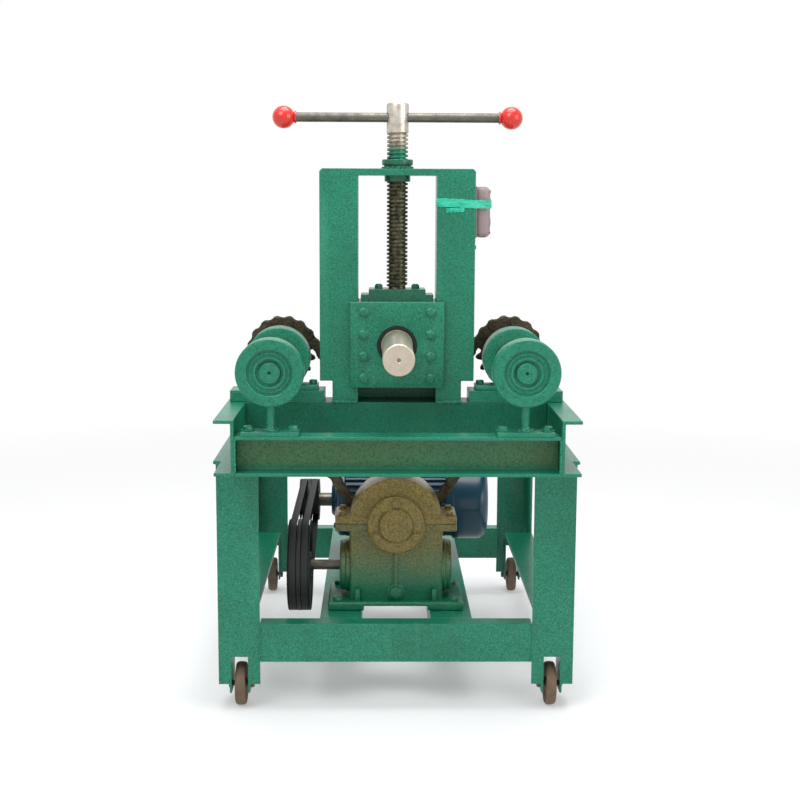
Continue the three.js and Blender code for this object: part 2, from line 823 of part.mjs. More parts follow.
function rearBearing(sign) {
  const x = sign * lowerShaftX;
  const back = rearBearingFront + rearBearingThick;
  const footTop = baseBlockTop + rearBearingFootTall;
  const middle = (rearBearingFront + back) / 2;
  const body = joined(
    rod(bearingRadius, rearBearingFront, back, "y", [x, 0, lowerShaftHeight]),
    block(
      [x - rearBearingFootHalf, x + rearBearingFootHalf],
      [rearBearingFront, back],
      [baseBlockTop, footTop],
    ),
    block(
      [x - bearingRadius / 2, x + bearingRadius / 2],
      [rearBearingFront, back],
      [baseBlockTop, lowerShaftHeight],
    ),
    ...sides.map((end) => {
      const place = [x + end.sign * (rearBearingFootHalf - rearBearingBoltInset), middle, 0];
      return boltHead(rearBearingBoltRadius, footTop - rooting, footTop + rearBearingBoltTall, "z", place);
    }),
  );
  const below = block([x - frameWidth, x + frameWidth], [0, frameDepth], [0, baseBlockTop]);
  return cut(
    body,
    rod(
      shaftRadius + runningGap,
      rearBearingFront - overrun,
      back + overrun,
      "y",
      [x, 0, lowerShaftHeight],
    ),
    below,
  );
}

// The left chain runs in the front plane, the right chain in the plane behind it
function planeOf(sign) {
  return chainPlane + (chainSpread * (1 + sign)) / 2;
}

// A sprocket with roller seats on the pitch circle, one toothed row in each plane, and a hub
function sprocket(x, height, boreRadius, planes) {
  const tip = pitchRadius + toothTipRise;
  const seat = chainRollerRadius + runningGap;
  const step = fullTurn / sprocketTeeth;
  const outline = Array.from({ length: sprocketTeeth }, (_, tooth) => {
    const angle = tooth * step;
    const gullet = Array.from({ length: seatSteps + 1 }, (_, i) => {
      const swing = angle + Math.PI + seatSweep * (1 - (2 * i) / seatSteps);
      return [
        pitchRadius * Math.cos(angle) + seat * Math.cos(swing),
        pitchRadius * Math.sin(angle) + seat * Math.sin(swing),
      ];
    });
    const corners = [0.5 - tipHalfShare, 0.5 + tipHalfShare].map((share) => {
      const turn = angle + step * share;
      return [tip * Math.cos(turn), tip * Math.sin(turn)];
    });
    return [...gullet, ...corners];
  }).flat();
  const placed = outline.map(([a, b]) => [x + a, height + b]);
  const half = sprocketWidth / 2;
  const front = chainPlane - half - hubLong;
  const back = planes[planes.length - 1] + half;
  const rows = planes.map((plane) => prism(placed, plane - half, plane + half, "y"));
  return cut(
    joined(...rows, rod(hubRadius, front, back - rooting, "y", [x, 0, height])),
    rod(boreRadius, front - overrun, back + overrun, "y", [x, 0, height]),
  );
}

// The rollers on one free span, from the circle round [a, b] to the one round [nextA, nextB]
function spanRollers([a, b], [nextA, nextB], plane) {
  const span = Math.hypot(nextA - a, nextB - b);
  const alongA = (nextA - a) / span;
  const alongB = (nextB - b) / span;
  const clearOf = Math.sqrt((pitchRadius + toothTipRise + chainRollerRadius) ** 2 - pitchRadius ** 2);
  const first = Math.ceil(clearOf / chainPitch) + 1;
  const count = Math.floor(span / chainPitch) - 2 * first + 1;
  return Array.from({ length: count }, (_, k) => {
    const along = (first + k) * chainPitch;
    const place = [
      a + along * alongA + pitchRadius * alongB,
      0,
      b + along * alongB - pitchRadius * alongA,
    ];
    return rod(
      chainRollerRadius,
      plane - chainNear - rooting,
      plane + chainNear + rooting,
      "y",
      place,
      rollerSides,
    );
  });
}

// One chain: two bands of link plates round two sprockets, joined by rollers on the free spans
function chainLoop(sign) {
  const circles = [
    [0, wheelShaftHeight, pitchRadius],
    [sign * lowerShaftX, lowerShaftHeight, pitchRadius],
  ];
  const plane = planeOf(sign);
  const outer = beltOutline(circles, chainPlateHalf, chainArcSteps);
  const inner = beltOutline(circles, -chainPlateHalf, chainArcSteps);
  const bands = [plane - chainFar, plane + chainNear].map((from) =>
    prism(outer, from, from + chainPlateThick, "y", [inner]),
  );
  const rollers = [circles, [...circles].reverse()].flatMap(([from, to]) => spanRollers(from, to, plane));
  return joined(...bands, ...rollers);
}

// The two chains are one body, because their plates meet where they run round the double sprocket
function driveChain() {
  return joined(...sides.map(({ sign }) => chainLoop(sign)));
}

for (const { side, sign } of sides) {
  piece(`outboard_support_${side}`, "green", outboardSupport(sign));
  piece(`base_block_${side}`, "green", baseBlock(sign));
  piece(`rear_bearing_${side}`, "green", rearBearing(sign));
  piece(`lower_shaft_${side}`, "steel", lowerShaft(sign));
  piece(
    `roller_sprocket_${side}`,
    "iron",
    sprocket(sign * lowerShaftX, lowerShaftHeight, shaftRadius + runningGap, [planeOf(sign)]),
  );
}
piece(
  "output_sprocket",
  "iron",
  sprocket(0, wheelShaftHeight, outputShaftRadius + runningGap, sides.map(({ sign }) => planeOf(sign))),
);
piece("drive_chain", "chain", driveChain());

// The reducer: a split casting with feet and worm bosses, a domed cap and a round front cover
const reducerInside = [reducerFront + reducerWall, reducerBack - reducerWall];

function outputBore() {
  const place = [0, 0, wheelShaftHeight];
  return rod(outputShaftRadius + runningGap, reducerFront - overrun, reducerBack + overrun, "y", place);
}

function reducerHousing() {
  const floorTop = bottomRailTop + reducerFootTall;
  const earX = reducerHalf + splitEar;
  const footHalf = reducerHalf + reducerFootReach;
  const y = [reducerFront, reducerBack];
  const footY = [reducerFront - reducerFootAhead, reducerBack + reducerFootBehind];
  const centre = [0, wormPlane, wormHeight];
  const body = joined(
    block([-footHalf, footHalf], footY, [bottomRailTop, floorTop]),
    block([-reducerHalf, reducerHalf], y, [bottomRailTop, wheelShaftHeight]),
    block([-earX, earX], y, [wheelShaftHeight - splitEarTall, wheelShaftHeight]),
    ...sides.map(({ sign }) => rod(bossRadius, ...across(sign, bossInner, bossOuter), "x", centre)),
    block(
      [-ribHalf, ribHalf],
      [reducerFront - ribDeep, reducerFront + rooting],
      [floorTop, wheelShaftHeight - coverRadius],
    ),
    rod(
      drainRadius,
      reducerFront - ribDeep - drainTall,
      reducerFront + rooting,
      "y",
      [0, 0, floorTop + drainRise],
      hexSides,
    ),
  );
  const wormBore = rod(
    wormShaftRadius + runningGap,
    -bossOuter - overrun,
    bossOuter - reducerWall,
    "x",
    centre,
  );
  const cavity = block([-reducerHalf + reducerWall, reducerHalf - reducerWall], reducerInside,
    [floorTop + reducerWall, wheelShaftHeight + overrun]);
  const arch = block([-footArchHalf, footArchHalf], [footY[0] - overrun, footY[1] + overrun],
    [bottomRailTop - overrun, bottomRailTop + footArchTall]);
  return cut(body, cavity, wormBore, arch, outputBore());
}

function reducerCap() {
  const earX = reducerHalf + splitEar;
  const y = [reducerFront, reducerBack];
  const centre = [0, 0, wheelShaftHeight];
  const body = joined(
    rod(reducerHalf, ...y, "y", centre),
    block([-earX, earX], y, [wheelShaftHeight, wheelShaftHeight + splitEarTall]),
    ...sides.map(({ sign }) => {
      const place = [sign * (reducerHalf + splitEar / 2), reducerFront + splitEar / 2, 0];
      const earTop = wheelShaftHeight + splitEarTall;
      return boltHead(splitBoltRadius, earTop - rooting, earTop + splitBoltTall, "z", place);
    }),
  );
  const cavity = rod(reducerHalf - reducerWall, ...reducerInside, "y", centre);
  const lower = block([-earX - overrun, earX + overrun], [y[0] - overrun, y[1] + overrun],
    [wheelShaftHeight - reducerHalf - overrun, wheelShaftHeight]);
  return cut(body, cavity, lower, outputBore());
}

function reducerCover() {
  const centre = [0, 0, wheelShaftHeight];
  const front = reducerFront - coverTall;
  const bolts = Array.from({ length: coverDiscBolts }, (_, i) => {
    const angle = Math.PI / 2 + (fullTurn * i) / coverDiscBolts;
    return boltHead(coverDiscBoltRadius, front + rooting, front - coverDiscBoltTall, "y",
      [coverDiscBoltCircle * Math.cos(angle), 0, wheelShaftHeight + coverDiscBoltCircle * Math.sin(angle)]);
  });
  return cut(
    joined(
      rod(coverRadius, front, reducerFront, "y", centre),
      rod(coverDiscRadius, front - coverDiscTall, front + rooting, "y", centre),
      ...bolts,
    ),
    rod(
      outputShaftRadius + runningGap,
      front + coverTall - outputFrontSink,
      reducerFront + overrun,
      "y",
      centre,
    ),
  );
}

function wormShaft() {
  const right = bossOuter - reducerWall - runningGap;
  const profile = [
    [0, -pulleyOuter], [wormShaftRadius, -pulleyOuter], [wormShaftRadius, -wormHalf],
    [wormRadius, -wormHalf],
    [wormRadius, wormHalf], [wormShaftRadius, wormHalf], [wormShaftRadius, right], [0, right],
  ];
  return turned(profile, "x", [0, wormPlane, wormHeight]);
}

function outputShaft() {
  const front = reducerFront - outputFrontSink + runningGap;
  const profile = [
    [0, front], [outputShaftRadius, front], [outputShaftRadius, wormPlane - wormWheelHalfThick],
    [wormWheelRadius, wormPlane - wormWheelHalfThick], [wormWheelRadius, wormPlane + wormWheelHalfThick],
    [outputShaftRadius, wormPlane + wormWheelHalfThick], [outputShaftRadius, shaftEnd], [0, shaftEnd],
  ];
  return turned(profile, "y", [0, 0, wheelShaftHeight]);
}

piece("reducer_housing", "green", reducerHousing());
piece("reducer_cap", "gold", reducerCap());
piece("reducer_cover", "gold", reducerCover());
piece("worm_shaft", "steel", wormShaft());
piece("output_shaft", "steel", outputShaft());

// A two-groove pulley: rim, thin web and hub
const pulleyMiddle = -(pulleyOuter - pulleyWide / 2);
const beltPlanes = [-beltSpacing / 2, beltSpacing / 2];

function pulley(radius, boreRadius, [y, z]) {
  const half = pulleyWide / 2;
  const floor = radius - beltSink - beltThick / 2 - grooveExtra;
  const grooveHalf = beltWidth / 2 + runningGap;
  const rim = [
    [boreRadius, -half], [radius, -half],
    ...beltPlanes.flatMap((place) => [
      [radius, place - grooveHalf], [floor, place - grooveHalf], [floor, place + grooveHalf],
      [radius, place + grooveHalf],
    ]),
    [radius, half], [boreRadius, half], [boreRadius, -half],
  ];
  const whole = turned(rim, "x", [pulleyMiddle, y, z]);
  const dishOuter = radius - pulleyRimThick;
  if (dishOuter <= pulleyHubRadius + pulleyRimThick) return whole;
  const dishes = [
    [-half - overrun, -pulleyWebThin / 2],
    [pulleyWebThin / 2, half + overrun],
  ].map(([from, to]) =>
    turned([
      [pulleyHubRadius, from],
      [dishOuter, from],
      [dishOuter, to],
      [pulleyHubRadius, to],
      [pulleyHubRadius, from],
    ], "x",
      [pulleyMiddle, y, z]),
  );
  return cut(whole, ...dishes);
}

function driveBelt(plane) {
  const circles = [[wormPlane, wormHeight, wormBeltRadius], [motorPlane, motorHeight, motorBeltRadius]];
  const outer = beltOutline(circles, beltThick / 2, beltArcSteps);
  const inner = beltOutline(circles, -beltThick / 2, beltArcSteps);
  const from = pulleyMiddle + plane - beltWidth / 2;
  return prism(outer, from, from + beltWidth, "x", [inner]);
}

piece(
  "worm_pulley",
  "iron",
  pulley(wormPulleyRadius, wormShaftRadius + runningGap, [wormPlane, wormHeight]),
);
piece(
  "motor_pulley",
  "iron",
  pulley(motorPulleyRadius, motorShaftRadius + runningGap, [motorPlane, motorHeight]),
);
piece("drive_belt_outer", "black", driveBelt(beltPlanes[0]));
piece("drive_belt_inner", "black", driveBelt(beltPlanes[1]));

// The motor: a barrel between its end shield and the rounded fan cowl, on a cast foot across the two bars
function motorBody() {
  const centre = [0, motorPlane, motorHeight];
  const rounding = Array.from({ length: cowlSteps + 1 }, (_, i) => {
    const angle = ((Math.PI / 2) * i) / cowlSteps;
    return [
      cowlRadius - cowlRounding * (1 - Math.cos(angle)),
      motorRight - cowlRounding * (1 - Math.sin(angle)),
    ];
  });
  const bore = motorShaftRadius + runningGap;
  const inner = -motorLeft + motorShaftTail;
  const profile = [
    [0, inner], [bore, inner], [bore, -motorLeft], [motorEndRadius, -motorLeft],
    [motorRadius, -motorLeft + motorEndLong],
    [motorRadius, motorRight - cowlLong], [cowlRadius, motorRight - cowlLong], ...rounding, [0, motorRight],
  ];
  const x = [-motorFootFromX, motorFootToX];
  return joined(
    turned(profile, "x", centre),
    block(
      x,
      [motorPlane - motorFootHalf, motorPlane + motorFootHalf],
      [bottomRailTop, bottomRailTop + motorFootTall],
    ),
    cut(
      block(
        x,
        [motorPlane - motorPedestalHalf, motorPlane + motorPedestalHalf],
        [bottomRailTop, motorHeight],
      ),
      rod(motorRadius - rooting, -frameWidth, frameWidth, "x", centre),
    ),
  );
}

function motorShaft() {
  const from = -pulleyOuter;
  return rod(
    motorShaftRadius,
    from,
    -motorLeft + motorShaftTail - runningGap,
    "x",
    [0, motorPlane, motorHeight],
  );
}

piece("motor_body", "blue", motorBody());
piece("motor_shaft", "steel", motorShaft());

// The switch box on the right column, with two push buttons in pockets of its outer face
const buttonY = switchFront + switchDeep / 2;
const buttonHeights = [-1, 1].map((sign) => switchBottom + switchTall / 2 + (sign * buttonPitch) / 2);
const switchFace = headHalf + switchThick;

function switchBox() {
  const shape = [[0, 0], [1, 0], [1, 1], [0, 1]].flatMap(([a, b]) => {
    const y = switchFront + (a ? switchDeep - switchRounding : switchRounding);
    const z = switchBottom + (b ? switchTall - switchRounding : switchRounding);
    const start = Math.PI + (Math.PI / 2) * (a + b + (b > a ? 1 : 0) * 2);
    return Array.from({ length: cornerSteps + 1 }, (_, i) => {
      const angle = start + ((Math.PI / 2) * i) / cornerSteps;
      return [y + switchRounding * Math.cos(angle), z + switchRounding * Math.sin(angle)];
    });
  });
  const pockets = buttonHeights.map((height) =>
    rod(
      buttonRadius + runningGap,
      switchFace - buttonDeep - pocketExtra,
      switchFace + overrun,
      "x",
      [0, buttonY, height],
    ),
  );
  return cut(prism(shape, headHalf, switchFace, "x"), ...pockets);
}

piece("switch_box", "grey", switchBox());
["button_reverse", "button_forward"].forEach((name, i) => {
  const button = rod(
    buttonRadius,
    switchFace - buttonDeep,
    switchFace + buttonStandOff,
    "x",
    [0, buttonY, buttonHeights[i]],
  );
  piece(name, "red", button);
});

const bender = new THREE.Group();
bender.add(machine);

export default bender;
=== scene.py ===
"""Looks of the electric pipe bender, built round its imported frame.

The file is laid out as an add-on: each operator dresses one piece or group of like pieces, and main
calls them in order. Sizes are in millimetres, and places are in metres, as the frame's boxes are.
"""

import itertools
import math

import bmesh
import bpy
from mathutils import Matrix, Vector


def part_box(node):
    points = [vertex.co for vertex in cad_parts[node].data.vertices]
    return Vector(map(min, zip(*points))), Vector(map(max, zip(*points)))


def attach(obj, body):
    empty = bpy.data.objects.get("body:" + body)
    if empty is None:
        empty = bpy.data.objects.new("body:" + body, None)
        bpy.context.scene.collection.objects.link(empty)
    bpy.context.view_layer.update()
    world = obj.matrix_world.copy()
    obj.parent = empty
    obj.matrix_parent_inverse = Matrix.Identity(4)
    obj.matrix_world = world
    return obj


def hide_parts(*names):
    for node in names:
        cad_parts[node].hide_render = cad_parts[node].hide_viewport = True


bl_info = {
    "name": "Electric Pipe Bender Looks",
    "version": (1, 0, 0),
    "blender": (4, 5, 0),
    "location": "3D View > Sidebar > Bender",
    "description": "Dresses the frame of an electric pipe bender with modelled pieces and finishes",
    "category": "Object",
}

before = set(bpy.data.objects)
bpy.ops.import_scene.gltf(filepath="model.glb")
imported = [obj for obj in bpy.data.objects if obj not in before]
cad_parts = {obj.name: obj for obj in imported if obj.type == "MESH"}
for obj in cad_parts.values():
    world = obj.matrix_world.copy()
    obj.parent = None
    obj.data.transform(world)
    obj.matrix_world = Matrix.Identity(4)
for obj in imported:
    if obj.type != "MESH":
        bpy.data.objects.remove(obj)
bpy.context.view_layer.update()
MM = 0.001
FULL_TURN = 2 * math.pi
AXES = {"x": Vector((1, 0, 0)), "y": Vector((0, 1, 0)), "z": Vector((0, 0, 1))}
RADIAL = {"x": AXES["z"], "y": AXES["z"], "z": AXES["x"]}
ACROSS = {"x": "yz", "y": "xz", "z": "xy"}
SIDES = (("left", -1), ("right", 1))


# Shader maths


class Value:
    """A number socket, so that Python sums and products add their Math nodes."""

    def __init__(self, nodes, socket):
        self.nodes = nodes
        self.socket = socket

    def maths(self, operation, *values):
        node = self.nodes.node("ShaderNodeMath", {"operation": operation}, dict(enumerate(values)))
        return Value(self.nodes, node.outputs[0])

    def __add__(self, other):
        return self.maths("ADD", self, other)

    def __sub__(self, other):
        return self.maths("SUBTRACT", self, other)

    def __rsub__(self, other):
        return self.maths("SUBTRACT", other, self)

    def __mul__(self, other):
        return self.maths("MULTIPLY", self, other)

    def clamped(self, low, high, to_low=0.0, to_high=1.0):
        ends = {"From Min": low, "From Max": high, "To Min": to_low, "To Max": to_high}
        node = self.nodes.node("ShaderNodeMapRange", {"clamp": True}, {"Value": self, **ends})
        return Value(self.nodes, node.outputs[0])

    __radd__ = __add__
    __rmul__ = __mul__


class Nodes:
    """A node tree to which nodes are added by one method."""

    def __init__(self, owner):
        owner.use_nodes = True
        self.tree = owner.node_tree

    def node(self, kind, settings=None, inputs=None):
        made = self.tree.nodes.new(kind)
        for key, value in (settings or {}).items():
            setattr(made, key, value)
        for key, value in (inputs or {}).items():
            self.feed(made.inputs[key], value)
        return made

    def feed(self, socket, value):
        value = value.socket if isinstance(value, Value) else value
        if isinstance(value, bpy.types.NodeSocket):
            self.tree.links.new(value, socket)
        else:
            socket.default_value = value


class Finish(Nodes):
    """One material, whose nodes read object coordinates."""

    def __init__(self, name, roughness=0.5, metallic=0.0, coat=0.0):
        self.material = bpy.data.materials.new(name)
        super().__init__(self.material)
        self.shader = self.tree.nodes["Principled BSDF"]
        for key, value in (
            ("Roughness", roughness), ("Metallic", metallic), ("Coat Weight", coat),
            ("Coat Roughness", 0.12), ("Specular IOR Level", 0.35)
        ):
            self.feed(self.shader.inputs[key], value)
        self.place = self.node("ShaderNodeTexCoord").outputs["Object"]
        split = self.node("ShaderNodeSeparateXYZ", {}, {"Vector": self.place})
        self.x, self.y, self.z = (Value(self, split.outputs[axis]) for axis in "XYZ")

    def noise(self, scale, detail=2.0, roughness=0.5, stretch=(1, 1, 1)):
        mapped = self.node("ShaderNodeMapping", {}, {"Vector": self.place, "Scale": stretch})
        inputs = {"Vector": mapped.outputs[0], "Scale": scale, "Detail": detail, "Roughness": roughness}
        return Value(self, self.node("ShaderNodeTexNoise", {}, inputs).outputs[0])

    def mix(self, first, second, factor):
        inputs = {0: factor, 6: first, 7: second}
        return self.node("ShaderNodeMix", {"data_type": "RGBA"}, inputs).outputs[2]

    def set(self, **values):
        for key, value in values.items():
            self.feed(self.shader.inputs[key.replace("_", " ").title()], value)

    def bump(self, height, distance, strength=1.0):
        inputs = {"Height": height, "Distance": distance, "Strength": strength}
        self.feed(self.shader.inputs["Normal"], self.node("ShaderNodeBump", {}, inputs).outputs[0])


def srgb(red, green, blue):
    """A colour as it looks on screen, 0 to 255, as the linear colour that a shader takes."""
    parts = (channel / 255 for channel in (red, green, blue))
    return (*(c / 12.92 if c <= 0.04045 else ((c + 0.055) / 1.055) ** 2.4 for c in parts), 1.0)


# Finishes


def enamel(name, base, deep, pale, gold=None, roughness=0.34):
    """Hammered enamel: fine dark pits, cloudy overspray, pale scuffs and a dimpled surface."""
    finish = Finish(name, roughness, coat=0.12)
    pits = finish.noise(380, 3, 0.7)
    cloud = finish.noise(9, 4, 0.6)
    streak = finish.noise(26, 3, 0.5, (1.0, 1.0, 0.14))
    colour = finish.mix(srgb(*base), srgb(*deep), pits.clamped(0.46, 0.62) * 0.8)
    colour = finish.mix(colour, srgb(*pale), finish.noise(520, 2, 0.6).clamped(0.58, 0.70) * 0.38)
    colour = finish.mix(colour, srgb(*deep), cloud.clamped(0.46, 0.70) * 0.4)
    colour = finish.mix(colour, srgb(*pale), streak.clamped(0.60, 0.82) * 0.15)
    if gold is not None:
        tint, mask = gold(finish, pits)
        colour = finish.mix(colour, tint, mask)
    finish.set(base_color=colour, roughness=pits.clamped(0.2, 0.9) * 0.2 + (roughness - 0.1))
    finish.bump(pits + finish.noise(170, 2, 0.5) * 0.8, 0.0007, 0.6)
    return finish.material


WEB_DEPTHS, WEB_FOOT, WEB_TOP = (9, 6), (4, 14), (7, 5)
BODY_FADE = (172, 236)


def web_overspray(finish, pits):
    """Olive overspray on the sunk web of the front beam, and none on its flanges."""
    low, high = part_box("front_beam")
    back = finish.y.clamped(*(high.y - depth * MM for depth in WEB_DEPTHS))
    above = finish.z.clamped(*(low.z + height * MM for height in WEB_FOOT))
    inner = above * (1 - finish.z.clamped(*(high.z - drop * MM for drop in WEB_TOP)))
    patch = finish.noise(9, 3, 0.6, (0.4, 1, 1)).clamped(0.3, 0.7) * 0.35 + 0.4
    return finish.mix(srgb(92, 124, 62), srgb(54, 88, 46), pits.clamped(0.42, 0.64)), back * inner * patch


def body_overspray(finish, pits):
    """Gold overspray that fades down the reducer's body."""
    fade = finish.z.clamped(*(height * MM for height in BODY_FADE))
    patch = finish.noise(22, 4, 0.6).clamped(0.25, 0.75) * 0.4 + 0.6
    return finish.mix(srgb(122, 104, 44), srgb(66, 62, 22), pits.clamped(0.42, 0.64)), fade * patch


def cap_overspray(finish, pits):
    """Gold overspray over the whole cap and cover, with green left in its hollows."""
    patch = finish.noise(30, 4, 0.65).clamped(0.2, 0.62) * 0.22 + 0.78
    return finish.mix(srgb(134, 114, 50), srgb(76, 68, 28), pits.clamped(0.42, 0.64)), patch


def worn_metal(name, light, dark, roughness, rings=None, dirt=None, stains=0.55):
    """Turned or worn steel: fine streaks, stains, and turning rings along an axis."""
    finish = Finish(name, roughness, metallic=0.85)
    stain = finish.noise(45, 4, 0.6).clamped(0.38, 0.68)
    fine = finish.noise(700, 2, 0.6)
    colour = finish.mix(srgb(*light), srgb(*dark), stain * stains + fine.clamped(0.5, 0.8) * 0.2)
    if dirt is not None:
        colour = finish.mix(colour, srgb(*dirt), finish.noise(80, 4, 0.7).clamped(0.5, 0.7) * 0.6)
    finish.set(base_color=colour, roughness=stain * 0.2 + roughness)
    finish.bump(finish.noise(900, 2, 0.5, rings or (1, 1, 1)), 0.0002, 0.35)
    return finish.material


def plain_coat(name, base, deep, roughness, coat=0.0, grain=350, depth=0.0002):
    """Moulded plastic, rubber or smooth enamel with a slight unevenness."""
    finish = Finish(name, roughness, coat=coat)
    cloud = finish.noise(24, 4, 0.6)
    fine = finish.noise(grain, 3, 0.6)
    colour = finish.mix(
        srgb(*base), srgb(*deep), cloud.clamped(0.4, 0.7) * 0.5 + fine.clamped(0.5, 0.75) * 0.15
    )
    finish.set(base_color=colour, roughness=fine.clamped(0.2, 0.8) * 0.15 + roughness - 0.05)
    finish.bump(fine, depth, 0.5)
    return finish.material


def clear_tape(name):
    """Thin crumpled film, partly see-through."""
    finish = Finish(name, 0.25)
    crease = finish.noise(120, 3, 0.6, (0.4, 1, 1))
    colour = finish.mix(srgb(69, 213, 179), srgb(28, 160, 130), crease.clamped(0.4, 0.7))
    finish.set(base_color=colour, alpha=crease.clamped(0.3, 0.6) * 0.2 + 0.75)
    finish.bump(crease, 0.0008, 0.6)
    return finish.material


def screw_steel(name):
    """Trapezoid thread: green paint above the nut, bare steel near the head, dark oil below the nut."""
    finish = Finish(name, 0.36, metallic=0.55)
    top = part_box("lead_nut")[1].z
    grime = finish.noise(130, 4, 0.7)
    oiled = finish.mix(srgb(96, 92, 66), srgb(26, 32, 22), grime.clamped(0.35, 0.62))
    bare = finish.mix(srgb(186, 178, 160), srgb(104, 94, 76), grime.clamped(0.35, 0.68))
    painted = finish.mix(srgb(40, 128, 98), srgb(18, 82, 62), grime.clamped(0.35, 0.65))
    ragged = finish.z + (grime - 0.5) * 0.03
    colour = finish.mix(oiled, painted, ragged.clamped(top - 12 * MM, top - 2 * MM))
    colour = finish.mix(colour, bare, ragged.clamped(top + 10 * MM, top + 26 * MM))
    finish.set(base_color=colour, roughness=grime * 0.25 + 0.28)
    finish.bump(grime, 0.0003, 0.4)
    return finish.material


GREEN = ((16, 122, 93), (8, 84, 62), (96, 178, 148))
PALETTE = {
    "green": lambda: enamel("Green Enamel", *GREEN),
    # A darker copy of the green enamel, for the rear cross beam: painted shade.
    "green_painted_shade": lambda: enamel("Green Enamel Deep", (10, 102, 76), (5, 68, 50), (70, 150, 122)),
    "green_beam": lambda: enamel("Green Enamel Beam", *GREEN, gold=web_overspray),
    "green_body": lambda: enamel(
        "Green Casting", (14, 112, 78), (6, 76, 52), (80, 150, 110), gold=body_overspray
    ),
    "gold": lambda: enamel(
        "Gold Casting", (40, 96, 60), (40, 46, 20), (150, 134, 80), gold=cap_overspray
    ),
    "blue": lambda: plain_coat("Blue Enamel", (30, 66, 84), (14, 38, 52), 0.3, coat=0.2),
    "thread": lambda: screw_steel("Screw Steel"),
    "bright": lambda: worn_metal(
        "Bare Steel", (206, 200, 188), (112, 100, 82), 0.26, (1, 1, 0.12), stains=0.95
    ),
    "shaft": lambda: worn_metal("Turned Shaft", (198, 188, 172), (160, 146, 126), 0.3, (0.15, 2.5, 0.15)),
    "bar": lambda: worn_metal("Handle Steel", (112, 108, 100), (58, 56, 50), 0.36, (0.1, 1, 1)),
    "chain": lambda: worn_metal("Chain Steel", (88, 80, 64), (24, 26, 20), 0.42, dirt=(14, 38, 30)),
    "iron": lambda: plain_coat("Dark Iron", (26, 34, 30), (12, 16, 14), 0.5, grain=240, depth=0.0005),
    "rust": lambda: plain_coat("Wheel Iron", (112, 96, 78), (70, 42, 26), 0.6, grain=160, depth=0.0006),
    "rubber": lambda: plain_coat("Belt Rubber", (34, 36, 35), (14, 15, 15), 0.6, grain=500),
    "red": lambda: plain_coat(
        "Red Knob", (206, 44, 30), (186, 30, 22), 0.22, coat=0.4, grain=60, depth=0.00005
    ),
    "grey": lambda: plain_coat("Grey Housing", (148, 134, 134), (118, 104, 104), 0.45),
    "black": lambda: plain_coat("Black Button", (34, 34, 35), (22, 22, 22), 0.4),
    "tape": lambda: clear_tape("Packing Film"),
    # A darker copy of the green enamel, for the screw's nut and clamp: painted shade.
    "nut": lambda: enamel("Nut Enamel", (12, 98, 72), (4, 58, 42), (84, 150, 122))
}
made_finishes = {}


def finish(name):
    if name not in made_finishes:
        made_finishes[name] = PALETTE[name]()
    return made_finishes[name]


# Modelling by operators

HEADS = {  # radius, height and the crown's share of the radius
    "plate_bolt": (7.6, 6.0, 0.25),
    "rear_bolt": (7.0, 5.4, 0.25),
    "cover_bolt": (7.4, 4.6, 0.3),
    "boss_bolt": (5.4, 3.6, 0.25),
    "drain": (10.5, 6.0, 0.2),
    "foot_bolt": (8.0, 5.0, 0.25),
    "cap_bolt": (6.0, 4.6, 0.25),
    "vent": (8.0, 6.0, 0.25),
    "front_bolt": (7.0, 5.0, 0.2),
    "shield_bolt": (5.0, 5.0, 0.25),
    "axle_bolt": (7.0, 3.6, 0.18),
    "panel_screw": (3.4, 2.4, 0.25),
}
WASHERS = {  # radius and thickness
    "plate_washer": (10.0, 1.6),
    "cover_washer": (8.6, 0.9),
    "cap_washer": (7.6, 1.2),
    "front_washer": (9.0, 1.6),
    "lid_screw": (2.6, 0.5),
}


def deselect():
    if bpy.context.mode != "OBJECT":
        bpy.ops.object.mode_set(mode="OBJECT")
    bpy.ops.object.select_all(action="DESELECT")


def activate(piece):
    deselect()
    piece.select_set(True)
    bpy.context.view_layer.objects.active = piece


def settled(piece, name, rounding=0.0, segments=2, angle=32):
    """Applies the piece's place to its mesh, rounds its sharp edges and shades it."""
    activate(piece)
    bpy.ops.object.transform_apply(location=True, rotation=True, scale=True)
    if rounding:
        edges = piece.modifiers.new("Rounding", "BEVEL")
        edges.width = rounding * MM
        edges.segments = segments
        edges.limit_method = "ANGLE"
        edges.angle_limit = math.radians(angle)
        bpy.ops.object.modifier_apply(modifier=edges.name)
    bpy.ops.object.shade_smooth_by_angle(angle=math.radians(angle))
    piece.name = name
    return piece


def drawn(points):
    """A new mesh drawn point by point, left in edit mode with its last point selected."""
    deselect()
    bpy.ops.mesh.primitive_plane_add(size=MM, location=points[0])
    bpy.ops.object.mode_set(mode="EDIT")
    bpy.ops.mesh.select_mode(type="VERT")
    bpy.ops.mesh.select_all(action="SELECT")
    bpy.ops.mesh.merge(type="CENTER")
    for here, there in zip(points, points[1:]):
        bpy.ops.mesh.extrude_vertices_move(TRANSFORM_OT_translate={"value": there - here})
    return bpy.context.object


def closed_up():
    """Turns the whole mesh's faces outward and leaves edit mode."""
    bpy.ops.mesh.select_all(action="SELECT")
    bpy.ops.mesh.normals_make_consistent(inside=False)
    bpy.ops.object.mode_set(mode="OBJECT")
    return bpy.context.object


def spun(name, profile, axis, centre, steps=56, rounding=0.6, base=0.0):
    """A turned piece: a profile of (radius, distance from the base along the axis) spun round the axis."""
    centre = Vector(centre)
    drawn([centre + RADIAL[axis] * r * MM + AXES[axis] * (base + d * MM) for r, d in profile])
    bpy.ops.mesh.select_all(action="SELECT")
    bpy.ops.mesh.spin(steps=steps, angle=FULL_TURN, center=centre, axis=AXES[axis])
    bpy.ops.mesh.select_all(action="SELECT")
    bpy.ops.mesh.remove_doubles(threshold=MM / 500)
    return settled(closed_up(), name, rounding=rounding)


